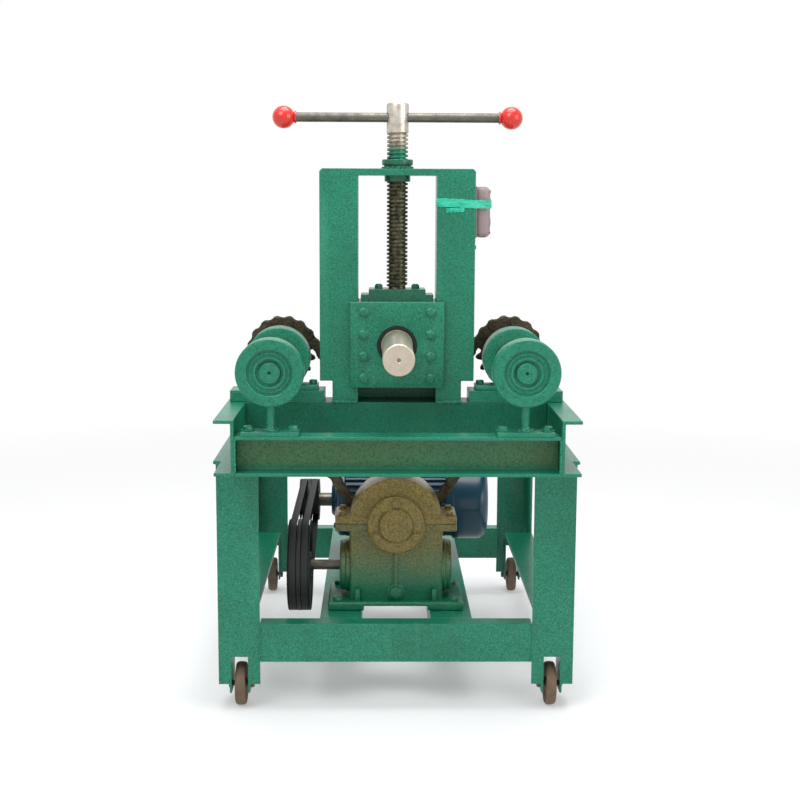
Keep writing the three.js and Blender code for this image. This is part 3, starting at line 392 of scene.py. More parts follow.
def slab(name, low, high, rounding=1.0, segments=2):
    """A block with rounded edges between two corners."""
    low, high = Vector(low), Vector(high)
    deselect()
    bpy.ops.mesh.primitive_cube_add(size=1, location=(low + high) / 2)
    bpy.context.object.scale = high - low
    return settled(bpy.context.object, name, rounding=rounding, segments=segments)


def hex_head(kind, axis, centre, sign=1):
    """A hexagon head: its outer face is inset and pushed out into a chamfered crown."""
    radius, height, crown = HEADS[kind]
    outward = AXES[axis] * sign
    deselect()
    bpy.ops.mesh.primitive_cylinder_add(
        vertices=6, radius=radius * MM, depth=height * MM,
        location=Vector(centre) + outward * height * MM / 2,
        rotation={"x": (0, math.pi / 2, 0), "y": (math.pi / 2, 0, 0), "z": (0, 0, 0)}[axis]
    )
    piece = bpy.context.object
    bpy.ops.object.transform_apply(location=True, rotation=True, scale=True)
    bpy.ops.object.mode_set(mode="EDIT")
    bpy.ops.mesh.select_mode(type="FACE")
    choose(piece, "faces", lambda face: face.normal.dot(outward) > 0.9)
    bpy.ops.mesh.inset(thickness=radius * crown * MM)
    bpy.ops.transform.translate(value=outward * radius * crown * 0.55 * MM)
    bpy.ops.object.mode_set(mode="OBJECT")
    return settled(piece, kind, rounding=radius * 0.09, segments=2, angle=20)


def choose(piece, kind, test):
    """Selects only the verts or faces of the piece, in edit mode, that pass a test."""
    bpy.ops.mesh.select_all(action="DESELECT")
    mesh = bmesh.from_edit_mesh(piece.data)
    for part in getattr(mesh, kind):
        part.select_set(test(part))
    bmesh.update_edit_mesh(piece.data)


def washer(kind, axis, centre, sign=1):
    radius, thickness = WASHERS[kind]
    profile = [(0, 0), (radius, 0), (radius, sign * thickness), (0, sign * thickness)]
    return spun(kind, profile, axis, centre, steps=24, rounding=thickness * 0.3)


def rod(name, radius, start, end, axis, centre, steps=40, rounding=0.8):
    length = (end - start) / MM
    profile = [(0, 0), (radius, 0), (radius, length), (0, length)]
    return spun(name, profile, axis, centre, steps=steps, rounding=rounding, base=start)


def bead(start, end, radius, seed):
    """A weld bead: overlapping flattened drops from start to end."""
    start, end, radius = Vector(start), Vector(end), radius * MM
    count = max(3, int((end - start).length / (radius * 0.75)))
    drops = []
    for i in range(count):
        wobble = Vector((math.sin(i * 2.1 + seed), math.cos(i * 1.7 + seed), math.sin(i * 2.9 + seed)))
        size = radius * (1 + 0.14 * math.sin(i * 1.3 + seed))
        place = start.lerp(end, i / (count - 1)) + wobble * radius * 0.18
        deselect()
        bpy.ops.mesh.primitive_ico_sphere_add(subdivisions=2, radius=size, location=place)
        drops.append(bpy.context.object)
    return joined("weld", drops)


def joined(name, pieces):
    """One piece made of several, with its place in its mesh."""
    deselect()
    for piece in pieces:
        piece.select_set(True)
    bpy.context.view_layer.objects.active = pieces[0]
    bpy.ops.object.join()
    bpy.ops.object.transform_apply(location=True, rotation=True, scale=True)
    bpy.ops.object.shade_smooth_by_angle(angle=math.radians(34))
    bpy.context.object.name = name
    return bpy.context.object


def applied(piece, name, kind, **values):
    """Adds a modifier with its values to the piece and applies it."""
    modifier = piece.modifiers.new(name, kind)
    for key, value in values.items():
        setattr(modifier, key, value)
    activate(piece)
    bpy.ops.object.modifier_apply(modifier=modifier.name)
    return piece


def carved(piece, tool):
    """Takes the tool's form out of the piece, and removes the tool."""
    applied(piece, "Cut", "BOOLEAN", object=tool, solver="EXACT")
    bpy.data.objects.remove(tool)
    return piece


def kept_above(piece, height):
    """Cuts off the piece below a height and closes the cut."""
    activate(piece)
    bpy.ops.object.mode_set(mode="EDIT")
    bpy.ops.mesh.select_all(action="SELECT")
    bpy.ops.mesh.bisect(
        plane_co=(0, 0, height), plane_no=AXES["z"], use_fill=True, clear_inner=True, clear_outer=False
    )
    bpy.ops.object.mode_set(mode="OBJECT")
    return piece


def copied(piece, name, matrix):
    twin = piece.copy()
    twin.data = piece.data.copy()
    twin.data.transform(matrix)
    twin.name = name
    bpy.context.scene.collection.objects.link(twin)
    return twin


def dressed(piece, paint, body, slot, *nodes):
    """Gives the piece its finish and the body that it rides on, and hides the nodes it stands for; slot is
    not used.
    """
    piece.data.materials.clear()
    piece.data.materials.append(finish(paint))
    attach(piece, body)
    if nodes:
        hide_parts(*nodes)
    return piece


def painted_in_front(piece, paint, front):
    """Adds a second finish on the faces in front of a place along y."""
    piece.data.materials.append(finish(paint))
    for face in piece.data.polygons:
        face.material_index = int(face.center.y < front)


def middle_of(node):
    low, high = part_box(node)
    return (low + high) / 2


def size_of(node):
    """The lengths of a node's box in millimetres."""
    low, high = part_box(node)
    return (high - low) / MM


def around(axis, centre, radius, count, start=0.0):
    """Places at equal steps on a circle round an axis."""
    first, second = (AXES[name] for name in ACROSS[axis])
    turns = (start + FULL_TURN * i / count for i in range(count))
    return [Vector(centre) + (first * math.cos(a) + second * math.sin(a)) * radius * MM for a in turns]


def belt_loop(circles, offset, steps):
    """The outline, in metres, of a belt round circles (a, b, radius), taken counterclockwise."""
    facing = []
    for i, (a, b, radius) in enumerate(circles):
        next_a, next_b, next_radius = circles[(i + 1) % len(circles)]
        span = math.hypot(next_a - a, next_b - b)
        facing.append(math.atan2(next_b - b, next_a - a) - math.acos((radius - next_radius) / span))
    points = []
    for i, (a, b, radius) in enumerate(circles):
        sweep = (facing[i] - facing[i - 1]) % FULL_TURN
        for step in range(steps + 1):
            angle = facing[i - 1] + sweep * step / steps
            reach = radius + offset
            points.append((a + reach * math.cos(angle), b + reach * math.sin(angle)))
    return points


def resampled(points, count):
    """Points at equal steps along a closed loop."""
    closed = points + points[:1]
    lengths = [math.dist(p, q) for p, q in zip(closed, closed[1:])]
    step = sum(lengths) / count
    found, walked, at = [], 0.0, 0
    for i in range(count):
        while walked + lengths[at] < i * step:
            walked += lengths[at]
            at += 1
        share = (i * step - walked) / lengths[at]
        (a, b), (c, d) = closed[at], closed[at + 1]
        found.append((a + (c - a) * share, b + (d - b) * share))
    return found


# Settings that a user would change


class BenderSettings(bpy.types.PropertyGroup):
    lens: bpy.props.FloatProperty(
        name="Lens", description="Focal length of the camera in millimetres", default=61.05
    )
    edge_rounding: bpy.props.FloatProperty(
        name="Edge Rounding", description="Rounding of the steel's edges", default=0.0012, unit="LENGTH"
    )
    round_steps: bpy.props.IntProperty(
        name="Round Steps", description="Steps of the large turned pieces", default=72
    )
    key_power: bpy.props.FloatProperty(
        name="Key Light", description="Power of the large soft lamp", default=50.0
    )
    ambient: bpy.props.FloatProperty(
        name="Ambient", description="Strength of the surrounding light", default=0.36
    )
    floor_colour: bpy.props.FloatVectorProperty(
        name="Floor Colour", description="Colour of the floor", subtype="COLOR", size=4,
        default=(0.93, 0.94, 0.96, 1.0)
    )
    chain_pitch: bpy.props.FloatProperty(
        name="Chain Pitch", description="Distance between the chain's rollers", default=19.05 * MM,
        unit="LENGTH"
    )
    thread_pitch: bpy.props.FloatProperty(
        name="Thread Pitch", description="Rise of the screw's thread in a turn", default=6 * MM,
        unit="LENGTH"
    )


def settings():
    return bpy.context.scene.bender_settings


# Stage

CAMERA_PITCH, CAMERA_YAW, CAMERA_ROLL = (math.radians(angle) for angle in (8.29992, 0.89, 0.270601))
CAMERA_PLACE = Vector((-26.81, -2257.84, 769.55)) * MM
LAMPS = (  # name, place, width in metres and share of the key lamp's power
    ("Key", (-1.3, -2.2, 2.6), 1.8, 1.0),
    ("Top", (0.1, -0.2, 3.0), 2.0, 1.5),
    ("Fill", (2.0, -1.6, 1.2), 1.6, 0.45),
)
LAMP_TARGET = Vector((0, -0.1, 0.45))
FLOOR_WIDTH, FLOOR_DROP = 60000, 0.5


class BENDER_OT_camera(bpy.types.Operator):
    """Places the camera where the photograph was taken from"""

    bl_idname = "bender.camera"
    bl_label = "Place Camera"

    def execute(self, context):
        level = Vector((math.cos(CAMERA_YAW), -math.sin(CAMERA_YAW), 0))
        ahead = Vector((math.sin(CAMERA_YAW), math.cos(CAMERA_YAW), 0))
        forward = ahead * math.cos(CAMERA_PITCH) - AXES["z"] * math.sin(CAMERA_PITCH)
        up = level.cross(forward)
        right = level * math.cos(CAMERA_ROLL) + up * math.sin(CAMERA_ROLL)
        top = up * math.cos(CAMERA_ROLL) - level * math.sin(CAMERA_ROLL)
        lens = bpy.data.cameras.new("Camera")
        lens.lens = settings().lens
        camera = bpy.data.objects.new("Camera", lens)
        context.scene.collection.objects.link(camera)
        turn = Matrix((right, top, -forward)).transposed()
        camera.matrix_world = Matrix.Translation(CAMERA_PLACE) @ turn.to_4x4()
        context.scene.camera = camera
        return {"FINISHED"}


class BENDER_OT_stage(bpy.types.Operator):
    """Lays the pale floor and sets the soft studio light"""

    bl_idname = "bender.stage"
    bl_label = "Set Stage"

    def execute(self, context):
        self.lay_floor()
        self.light_world(context)
        for name, place, width, share in LAMPS:
            lamp = bpy.data.lights.new(name, "AREA")
            lamp.size = width
            lamp.energy = settings().key_power * share
            holder = bpy.data.objects.new(name, lamp)
            context.scene.collection.objects.link(holder)
            holder.location = place
            holder.rotation_mode = "QUATERNION"
            holder.rotation_quaternion = (LAMP_TARGET - Vector(place)).to_track_quat("-Z", "Y")
        context.scene.view_settings.view_transform = "Standard"
        return {"FINISHED"}

    def lay_floor(self):
        """A floor that turns into plain white light away from the machine."""
        deselect()
        bpy.ops.mesh.primitive_plane_add(size=FLOOR_WIDTH * MM, location=(0, 0, -FLOOR_DROP * MM))
        floor = bpy.context.object
        floor.name = "studio_floor"
        coat = Finish("Studio Floor", 0.9)
        tone = coat.mix(tuple(settings().floor_colour), srgb(250, 251, 253), coat.noise(3, 2))
        coat.set(base_color=tone)
        glow = coat.node("ShaderNodeEmission", {}, {"Color": (1, 1, 1, 1), "Strength": 1.0})
        square = coat.x * coat.x + coat.y * coat.y
        inputs = {
            0: square.maths("SQRT", square).clamped(0.5, 2.6) * 0.7 + 0.3,
            1: coat.shader.outputs[0],
            2: glow.outputs[0]
        }
        blend = coat.node("ShaderNodeMixShader", {}, inputs)
        coat.feed(coat.tree.nodes["Material Output"].inputs[0], blend.outputs[0])
        floor.data.materials.append(coat.material)

    def light_world(self, context):
        """White where the camera or a reflection sees it, and dimmer as a lamp."""
        world = bpy.data.worlds.new("Studio")
        context.scene.world = world
        sky = Nodes(world)
        background = sky.tree.nodes["Background"]
        rays = sky.node("ShaderNodeLightPath").outputs
        camera_ray = Value(sky, rays["Is Camera Ray"])
        seen = camera_ray.maths("MAXIMUM", camera_ray, Value(sky, rays["Is Glossy Ray"]))
        sky.feed(background.inputs[0], (1, 1, 1, 1))
        sky.feed(background.inputs[1], seen.clamped(0.0, 1.0, settings().ambient, 1.0))


# Frame and bearings

ENDS = ("front_left", "rear_left", "front_right", "rear_right")
RAILS = ("bottom_rail_front", "bottom_rail_rear")
PAIRS = ("bottom_rail", "top_rail", "motor_bar", "side_channel", "base_block")
CARRIED = {
    "green": [
        *(f"leg_{end}" for end in ENDS), *RAILS, *(f"{pair}_{side}" for pair in PAIRS for side, _ in SIDES),
        "head_frame", "slide_block"
    ],
    # The rear cross beam takes the darker copy of the green: painted shade.
    "green_painted_shade": ["cross_beam"],
    "green_beam": ["front_beam"],
    "shaft": ["output_shaft"],
    "bar": ["worm_shaft", "motor_shaft"],
    # The screw clamp takes the nut's darker copy of the green: painted shade.
    "nut": ["screw_clamp"],
}
RING_RADIUS, OUTBOARD_INSET = 48, 4
PLATE_HALF, PLATE_THICKNESS, PLATE_BOLT_PLACE = 41, 6, 32
POST_WELD_RADIUS, POST_WELDS = 9, 7
FOOT_THICKNESS, FOOT_BOLT_PLACE, CHEEK_HALF, CHEEK_INSET, CHEEK_DROP = 8, 52, 24, 1, 25
THICK_BEAD, COLUMN_BEAD, BEAM_BEAD, THIN_BEAD = 2.4, 2.2, 1.8, 1.5
OUTBOARD_RING = [
    (15.3, 6), (19, 6), (19.5, 2), (23, 2), (23.8, 4.6), (26, 4.6), (26.4, 3), (28.6, 3), (29, 4.6),
    (31.5, 4.6), (32.2, 0.8), (33.4, 0), (46.4, 0), (48, 1.6), (48, 28.4), (46.8, 30), (15.3, 30),
    (15.3, 6)
]
REAR_RING = [
    (22.8, 3), (30, 3), (31, 0.8), (33, 0), (46.5, 0), (48, 1.5), (48, 38.5), (46.5, 40), (22.8, 40),
    (22.8, 3)
]


class BENDER_OT_frame_steel(bpy.types.Operator):
    """Finishes the steel sections of the stand and head, and rounds their edges"""

    bl_idname = "bender.frame_steel"
    bl_label = "Finish Steel Sections"

    def execute(self, context):
        for paint, nodes in CARRIED.items():
            for name in nodes:
                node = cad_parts[name]
                node.data.materials.clear()
                node.data.materials.append(finish(paint))
                weld = node.modifiers.new("Weld", "WELD")
                weld.merge_threshold = MM / 100
                flat = node.modifiers.new("Flat Faces", "DECIMATE")
                flat.decimate_type = "DISSOLVE"
                flat.angle_limit = math.radians(1)
                edges = node.modifiers.new("Rounding", "BEVEL")
                edges.width = settings().edge_rounding
                edges.segments = 2
                edges.limit_method = "ANGLE"
                edges.angle_limit = math.radians(40)
        return {"FINISHED"}


class BENDER_OT_bearings(bpy.types.Operator):
    """Models the two outboard bearings on their posts, and the rear bearings behind them"""

    bl_idname = "bender.bearings"
    bl_label = "Model Bearings"

    def execute(self, context):
        for side, _ in SIDES:
            self.outboard(side)
            self.rear(side)
        return {"FINISHED"}

    def outboard(self, side):
        """A ring on a post, whose plate is bolted to the front beam."""
        node = f"outboard_support_{side}"
        low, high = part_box(node)
        _, beam_back, beam_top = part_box("front_beam")[1]
        x, z = (low.x + high.x) / 2, high.z - RING_RADIUS * MM
        middle = (low.y + beam_back) / 2
        plate_top = beam_top + PLATE_THICKNESS * MM
        half = PLATE_HALF * MM
        front = low.y + OUTBOARD_INSET * MM
        neck = (z - beam_top) / MM - RING_RADIUS
        ring = spun(
            "ring", OUTBOARD_RING, "y", (x, 0, z), steps=settings().round_steps, rounding=0.4, base=front
        )
        profile = [
            (0, 3), (9, 6), (7, 9), (6.2, 13), (6.2, neck - 2), (7.6, neck + 1), (9, neck + 4), (0, neck + 4)
        ]
        post = spun("post", profile, "z", (x, middle, 0), steps=32, rounding=0.0, base=beam_top)
        plate = slab("plate", (x - half, low.y, beam_top), (x + half, beam_back, plate_top))
        bits = [ring, post, plate]
        for end in (-1, 1):
            spot = (x + end * PLATE_BOLT_PLACE * MM, middle, plate_top)
            bits += [washer("plate_washer", "z", spot), hex_head("plate_bolt", "z", spot)]
        spots = around("z", (x, middle, plate_top + 0.5 * MM), POST_WELD_RADIUS, POST_WELDS)
        for first, second in zip(spots, spots[1:] + spots[:1]):
            bits.append(bead(first, second, THICK_BEAD, len(bits)))
        dressed(joined(f"outboard_bearing_{side}", bits), "green", "stand", "green_paint", node)

    def rear(self, side):
        """A wider ring on a foot that is bolted to the base block."""
        node = f"rear_bearing_{side}"
        low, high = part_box(node)
        x, z = (low.x + high.x) / 2, high.z - RING_RADIUS * MM
        foot_top = low.z + FOOT_THICKNESS * MM
        half, inset = CHEEK_HALF * MM, CHEEK_INSET * MM
        ring = spun(
            "ring", REAR_RING, "y", (x, 0, z), steps=settings().round_steps, rounding=0.4, base=low.y
        )
        foot = slab("foot", low, (high.x, high.y, foot_top), rounding=1.5)
        cheek_top = z - CHEEK_DROP * MM
        cheek = slab(
            "cheek", (x - half, low.y + inset, low.z), (x + half, high.y - inset, cheek_top), rounding=2
        )
        middle = (low.y + high.y) / 2
        spots = [(x + end * FOOT_BOLT_PLACE * MM, middle, foot_top) for end in (-1, 1)]
        bits = [ring, foot, cheek, *(hex_head("rear_bolt", "z", spot) for spot in spots)]
        dressed(joined(f"rear_bearing_block_{side}", bits), "green", "stand", "green_paint", node)


# Shafts and press block

SHAFT_PAINT_DEPTH = 20
UPPER_SHAFT = [
    (0, 5.5), (1.2, 5), (3.2, 0.4), (3.8, 0), (21, 0), (22.5, 1.5), (22.5, 195.1), (26, 195.1),
    (26, 202.1), (22.5, 202.1), (22.5, 263.4), (28, 263.4), (28, 271.1), (0, 271.1)
]
LOWER_SHAFT_NOSE = [
    (0, 5), (1, 4.6), (2.6, 0.3), (3.2, 0), (12.6, 0), (13, 0.5), (13.6, 0.5), (14, 0), (15, 1),
    (15, 29.3), (22.5, 29.3)
]
BLOCK_RING = [(24, 2.5), (26, 2.5), (26.4, 1.5), (29.6, 1.5), (29.6, 10.6), (24, 10.6), (24, 2.5)]
COVER_DEPTH, COVER_HOLE, CUT_OVERRUN = 6, 30, 2
COVER_BOLT_INSET, COVER_BOLT_START, COVER_BOLT_STEP, COVER_BOLT_ROWS = 20.5, 15, 100 / 3, 4


class BENDER_OT_shafts(bpy.types.Operator):
    """Models the upper shaft and the two lower shafts, with their centre holes"""

    bl_idname = "bender.shafts"
    bl_label = "Model Shafts"

    def execute(self, context):
        steps = settings().round_steps
        front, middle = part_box("upper_shaft")[0].y, middle_of("upper_shaft")
        piece = spun(
            "upper_bending_shaft", UPPER_SHAFT, "y", (0, 0, middle.z), steps=steps, rounding=0.3,
            base=front
        )
        dressed(piece, "shaft", "upper_roller", "turned_steel", "upper_shaft")
        for side, _ in SIDES:
            node = f"lower_shaft_{side}"
            front, middle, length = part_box(node)[0].y, middle_of(node), size_of(node).y
            profile = [*LOWER_SHAFT_NOSE, (22.5, length - 1), (21.5, length), (0, length)]
            spot = (middle.x, 0, middle.z)
            piece = spun(
                f"lower_bending_shaft_{side}", profile, "y", spot, steps=steps, rounding=0.2, base=front
            )
            dressed(piece, "shaft", f"lower_roller_{side}", "turned_steel", node)
            painted_in_front(piece, "green", front + SHAFT_PAINT_DEPTH * MM)
        return {"FINISHED"}


class BENDER_OT_cover_plate(bpy.types.Operator):
    """Models the cover plate of the slide block, with its bolts and the bearing behind its hole"""

    bl_idname = "bender.cover_plate"
    bl_label = "Model Cover Plate"

    def execute(self, context):
        low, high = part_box("cover_plate")
        face = low.y + COVER_DEPTH * MM
        centre = (0, 0, middle_of("upper_shaft").z)
        ends = face - CUT_OVERRUN * MM, high.y + CUT_OVERRUN * MM
        plate = slab("plate", (low.x, face, low.z), high, rounding=1.6, segments=3)
        hole = rod("hole", COVER_HOLE, *ends, "y", centre, steps=settings().round_steps, rounding=0)
        bits = [settled(carved(plate, hole), "plate", rounding=0.6)]
        for sign, row in itertools.product((-1, 1), range(COVER_BOLT_ROWS)):
            height = (COVER_BOLT_START + COVER_BOLT_STEP * row) * MM
            spot = (sign * (high.x - COVER_BOLT_INSET * MM), face, low.z + height)
            bits += [hex_head("cover_bolt", "y", spot, -1), washer("cover_washer", "y", spot, -1)]
        dressed(joined("block_cover", bits), "green", "press_block", "green_paint", "cover_plate")
        piece = spun("upper_bearing_ring", BLOCK_RING, "y", centre, steps=56, rounding=0.2, base=face)
        dressed(piece, "iron", "press_block", "dark_iron")
        return {"FINISHED"}


# Screw and handle

SCREW_HEAD_HEIGHT = 44
SCREW_HEAD = [
    (12.8, -1), (15.6, 0), (16.5, 1), (16.5, SCREW_HEAD_HEIGHT - 1.5), (15, SCREW_HEAD_HEIGHT),
    (0, SCREW_HEAD_HEIGHT)
]
CROSS_HOLE, CROSS_HOLE_DROP, CROSS_HOLE_HALF = 7.3, 21, 30
SCREW_FOOT = 21.4
THREAD_OUTER, THREAD_ROOT, THREAD_STEPS = 15.9, 12.6, 40
THREAD = [
    (THREAD_ROOT, 0.0), (THREAD_ROOT, 0.3), (THREAD_OUTER, 0.4), (THREAD_OUTER, 0.9), (THREAD_ROOT, 1.0)
]
NUT_WELD_RADIUS, NUT_WELD_HEIGHT = 22, 1.2
NUT_WELDS, NUT_WELD_STEP, NUT_WELD_TURN = 16, FULL_TURN / 15.7, 0.4
KNOB_PLACE, KNOB_RADIUS = 171, 17
KNOB_NECK = [(7.3, -19), (9, -19), (9.6, -17)]


class BENDER_OT_screw(bpy.types.Operator):
    """Models the lead screw with its true thread, its head and its nut"""

    bl_idname = "bender.screw"
    bl_label = "Model Screw"

    def execute(self, context):
        low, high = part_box("lead_screw")
        x, y, _ = middle_of("lead_screw")
        centre = (x, y, 0)
        head_bottom = high.z - SCREW_HEAD_HEIGHT * MM
        thread = self.thread(centre, low.z + SCREW_FOOT * MM, head_bottom)
        foot, end = SCREW_FOOT, (head_bottom - low.z) / MM
        profile = [(0, 0), (20, 0), (20, 9.2), (13, 9.2), (13, foot), (12.2, foot), (12.2, end), (0, end)]
        stem = spun("stem", profile, "z", centre, steps=40, rounding=0.2, base=low.z)
        screw = joined("threaded_screw", [thread, stem])
        dressed(screw, "thread", "screw", "oiled_steel", "lead_screw")
        head = spun("screw_head", SCREW_HEAD, "z", centre, steps=56, rounding=0.3, base=head_bottom)
        spot, reach = (x, y, high.z - CROSS_HOLE_DROP * MM), CROSS_HOLE_HALF * MM
        hole = rod("hole", CROSS_HOLE, -reach, reach, "x", spot, steps=32, rounding=0)
        dressed(carved(head, hole), "bright", "screw", "turned_steel")
        self.nut(centre)
        return {"FINISHED"}

    def nut(self, centre):
        """A collar that stands out of the head's top bar, welded round its foot."""
        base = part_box("lead_nut")[0].z
        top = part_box("head_frame")[1].z
        neck, tall = (top - base) / MM, size_of("lead_nut").z
        profile = [
            (16.3, 0), (19.5, 0), (19.7, neck), (21, neck), (20.4, neck + 5), (23.4, neck + 6),
            (23.5, tall - 1), (22.5, tall), (17.4, tall), (16.3, tall - 1.2), (16.3, 0)
        ]
        bits = [spun("collar", profile, "z", centre, steps=56, rounding=0.3, base=base)]
        for i in range(NUT_WELDS):
            turn = i * NUT_WELD_STEP
            spot = (centre[0], centre[1], top + NUT_WELD_HEIGHT * MM)
            start, = around("z", spot, NUT_WELD_RADIUS, 1, turn)
            end, = around("z", spot, NUT_WELD_RADIUS, 1, turn + NUT_WELD_TURN)
            bits.append(bead(start, end, THICK_BEAD, turn))
        # The nut takes the darker copy of the green enamel: painted shade.
        dressed(joined("screw_nut", bits), "nut", "stand", "green_paint", "lead_nut")

    def thread(self, centre, start, end):
        """A trapezoid thread: one pitch of its profile swept up round the axis, with both ends cut level."""
        pitch = settings().thread_pitch
        corner = Vector((centre[0], centre[1], start - pitch))
        drawn([corner + AXES["x"] * r * MM + AXES["z"] * share * pitch for r, share in THREAD])
        bpy.ops.object.mode_set(mode="OBJECT")
        bpy.context.scene.cursor.location = corner
        bpy.ops.object.origin_set(type="ORIGIN_CURSOR")
        bpy.context.scene.cursor.location = (0, 0, 0)
        applied(
            bpy.context.object, "Sweep", "SCREW", screw_offset=pitch, steps=THREAD_STEPS,
            render_steps=THREAD_STEPS, iterations=math.ceil((end - start) / pitch) + 2
        )
        bpy.ops.object.mode_set(mode="EDIT")
        bpy.ops.mesh.select_all(action="SELECT")
        bpy.ops.mesh.remove_doubles(threshold=MM / 1000)
        for height, direction in ((start, -1), (end, 1)):
            bpy.ops.mesh.select_all(action="SELECT")
            bpy.ops.mesh.bisect(
                plane_co=(0, 0, height), plane_no=(0, 0, direction), use_fill=True, clear_outer=True
            )
        return settled(closed_up(), "screw_thread")


class BENDER_OT_handle(bpy.types.Operator):
    """Models the handle bar and its two knobs"""

    bl_idname = "bender.handle"
    bl_label = "Model Handle"

    def execute(self, context):
        base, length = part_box("handle_bar")[0].x, size_of("handle_bar").x
        _, y, z = middle_of("handle_bar")
        profile = [(0, 0), (6, 0), (7, 1), (7, length - 1), (6, length), (0, length)]
        bar = spun("handle_rod", profile, "x", (0, y, z), steps=40, rounding=0.0, base=base)
        dressed(bar, "bar", "handle", "worn_steel", "handle_bar")
        for side, sign in SIDES:
            turns = (math.radians(angle) for angle in range(-64, 91, 11))
            ball = [(KNOB_RADIUS * math.cos(a), KNOB_RADIUS * math.sin(a)) for a in turns]
            profile = [(r, sign * d) for r, d in (*KNOB_NECK, *ball, (0, KNOB_RADIUS))]
            place = sign * KNOB_PLACE * MM
            knob = spun(f"handle_knob_{side}", profile, "x", (0, y, z), steps=48, rounding=0.0, base=place)
            dressed(knob, "red", "handle", "red_plastic", f"knob_{side}")
        return {"FINISHED"}


# Chains

TEETH, TOOTH_STEPS = 16, 6
TOOTH = (((0,), -6.2), ((1, 5), -4.4), ((2, 4), 1.5))
TOOTH_TIP, TOOTH_WIDTH, ROW_INSET = 4.2, 11, 5.65
LINK_RADIUS, LINK_THICKNESS, LINK_WAIST_SHARE = 8.4, 1.7, 0.72
INNER_LINK_PLACE, OUTER_LINK_PLACE = 6.9, 8.6
LINK_CORNERS, LINK_SPLIT, LINK_WAIST = 28, 0.4, 4.6
ROLLER_RADIUS, ROLLER_HALF, PIN_RADIUS, PIN_HALF = 5.9, 5.6, 2.5, 9.9
HUB_RADIUS, HUB_INSET, OUTPUT_BORE, ROLLER_BORE = 32, 3, 14.4, 22.6
ARC_STEPS = 24


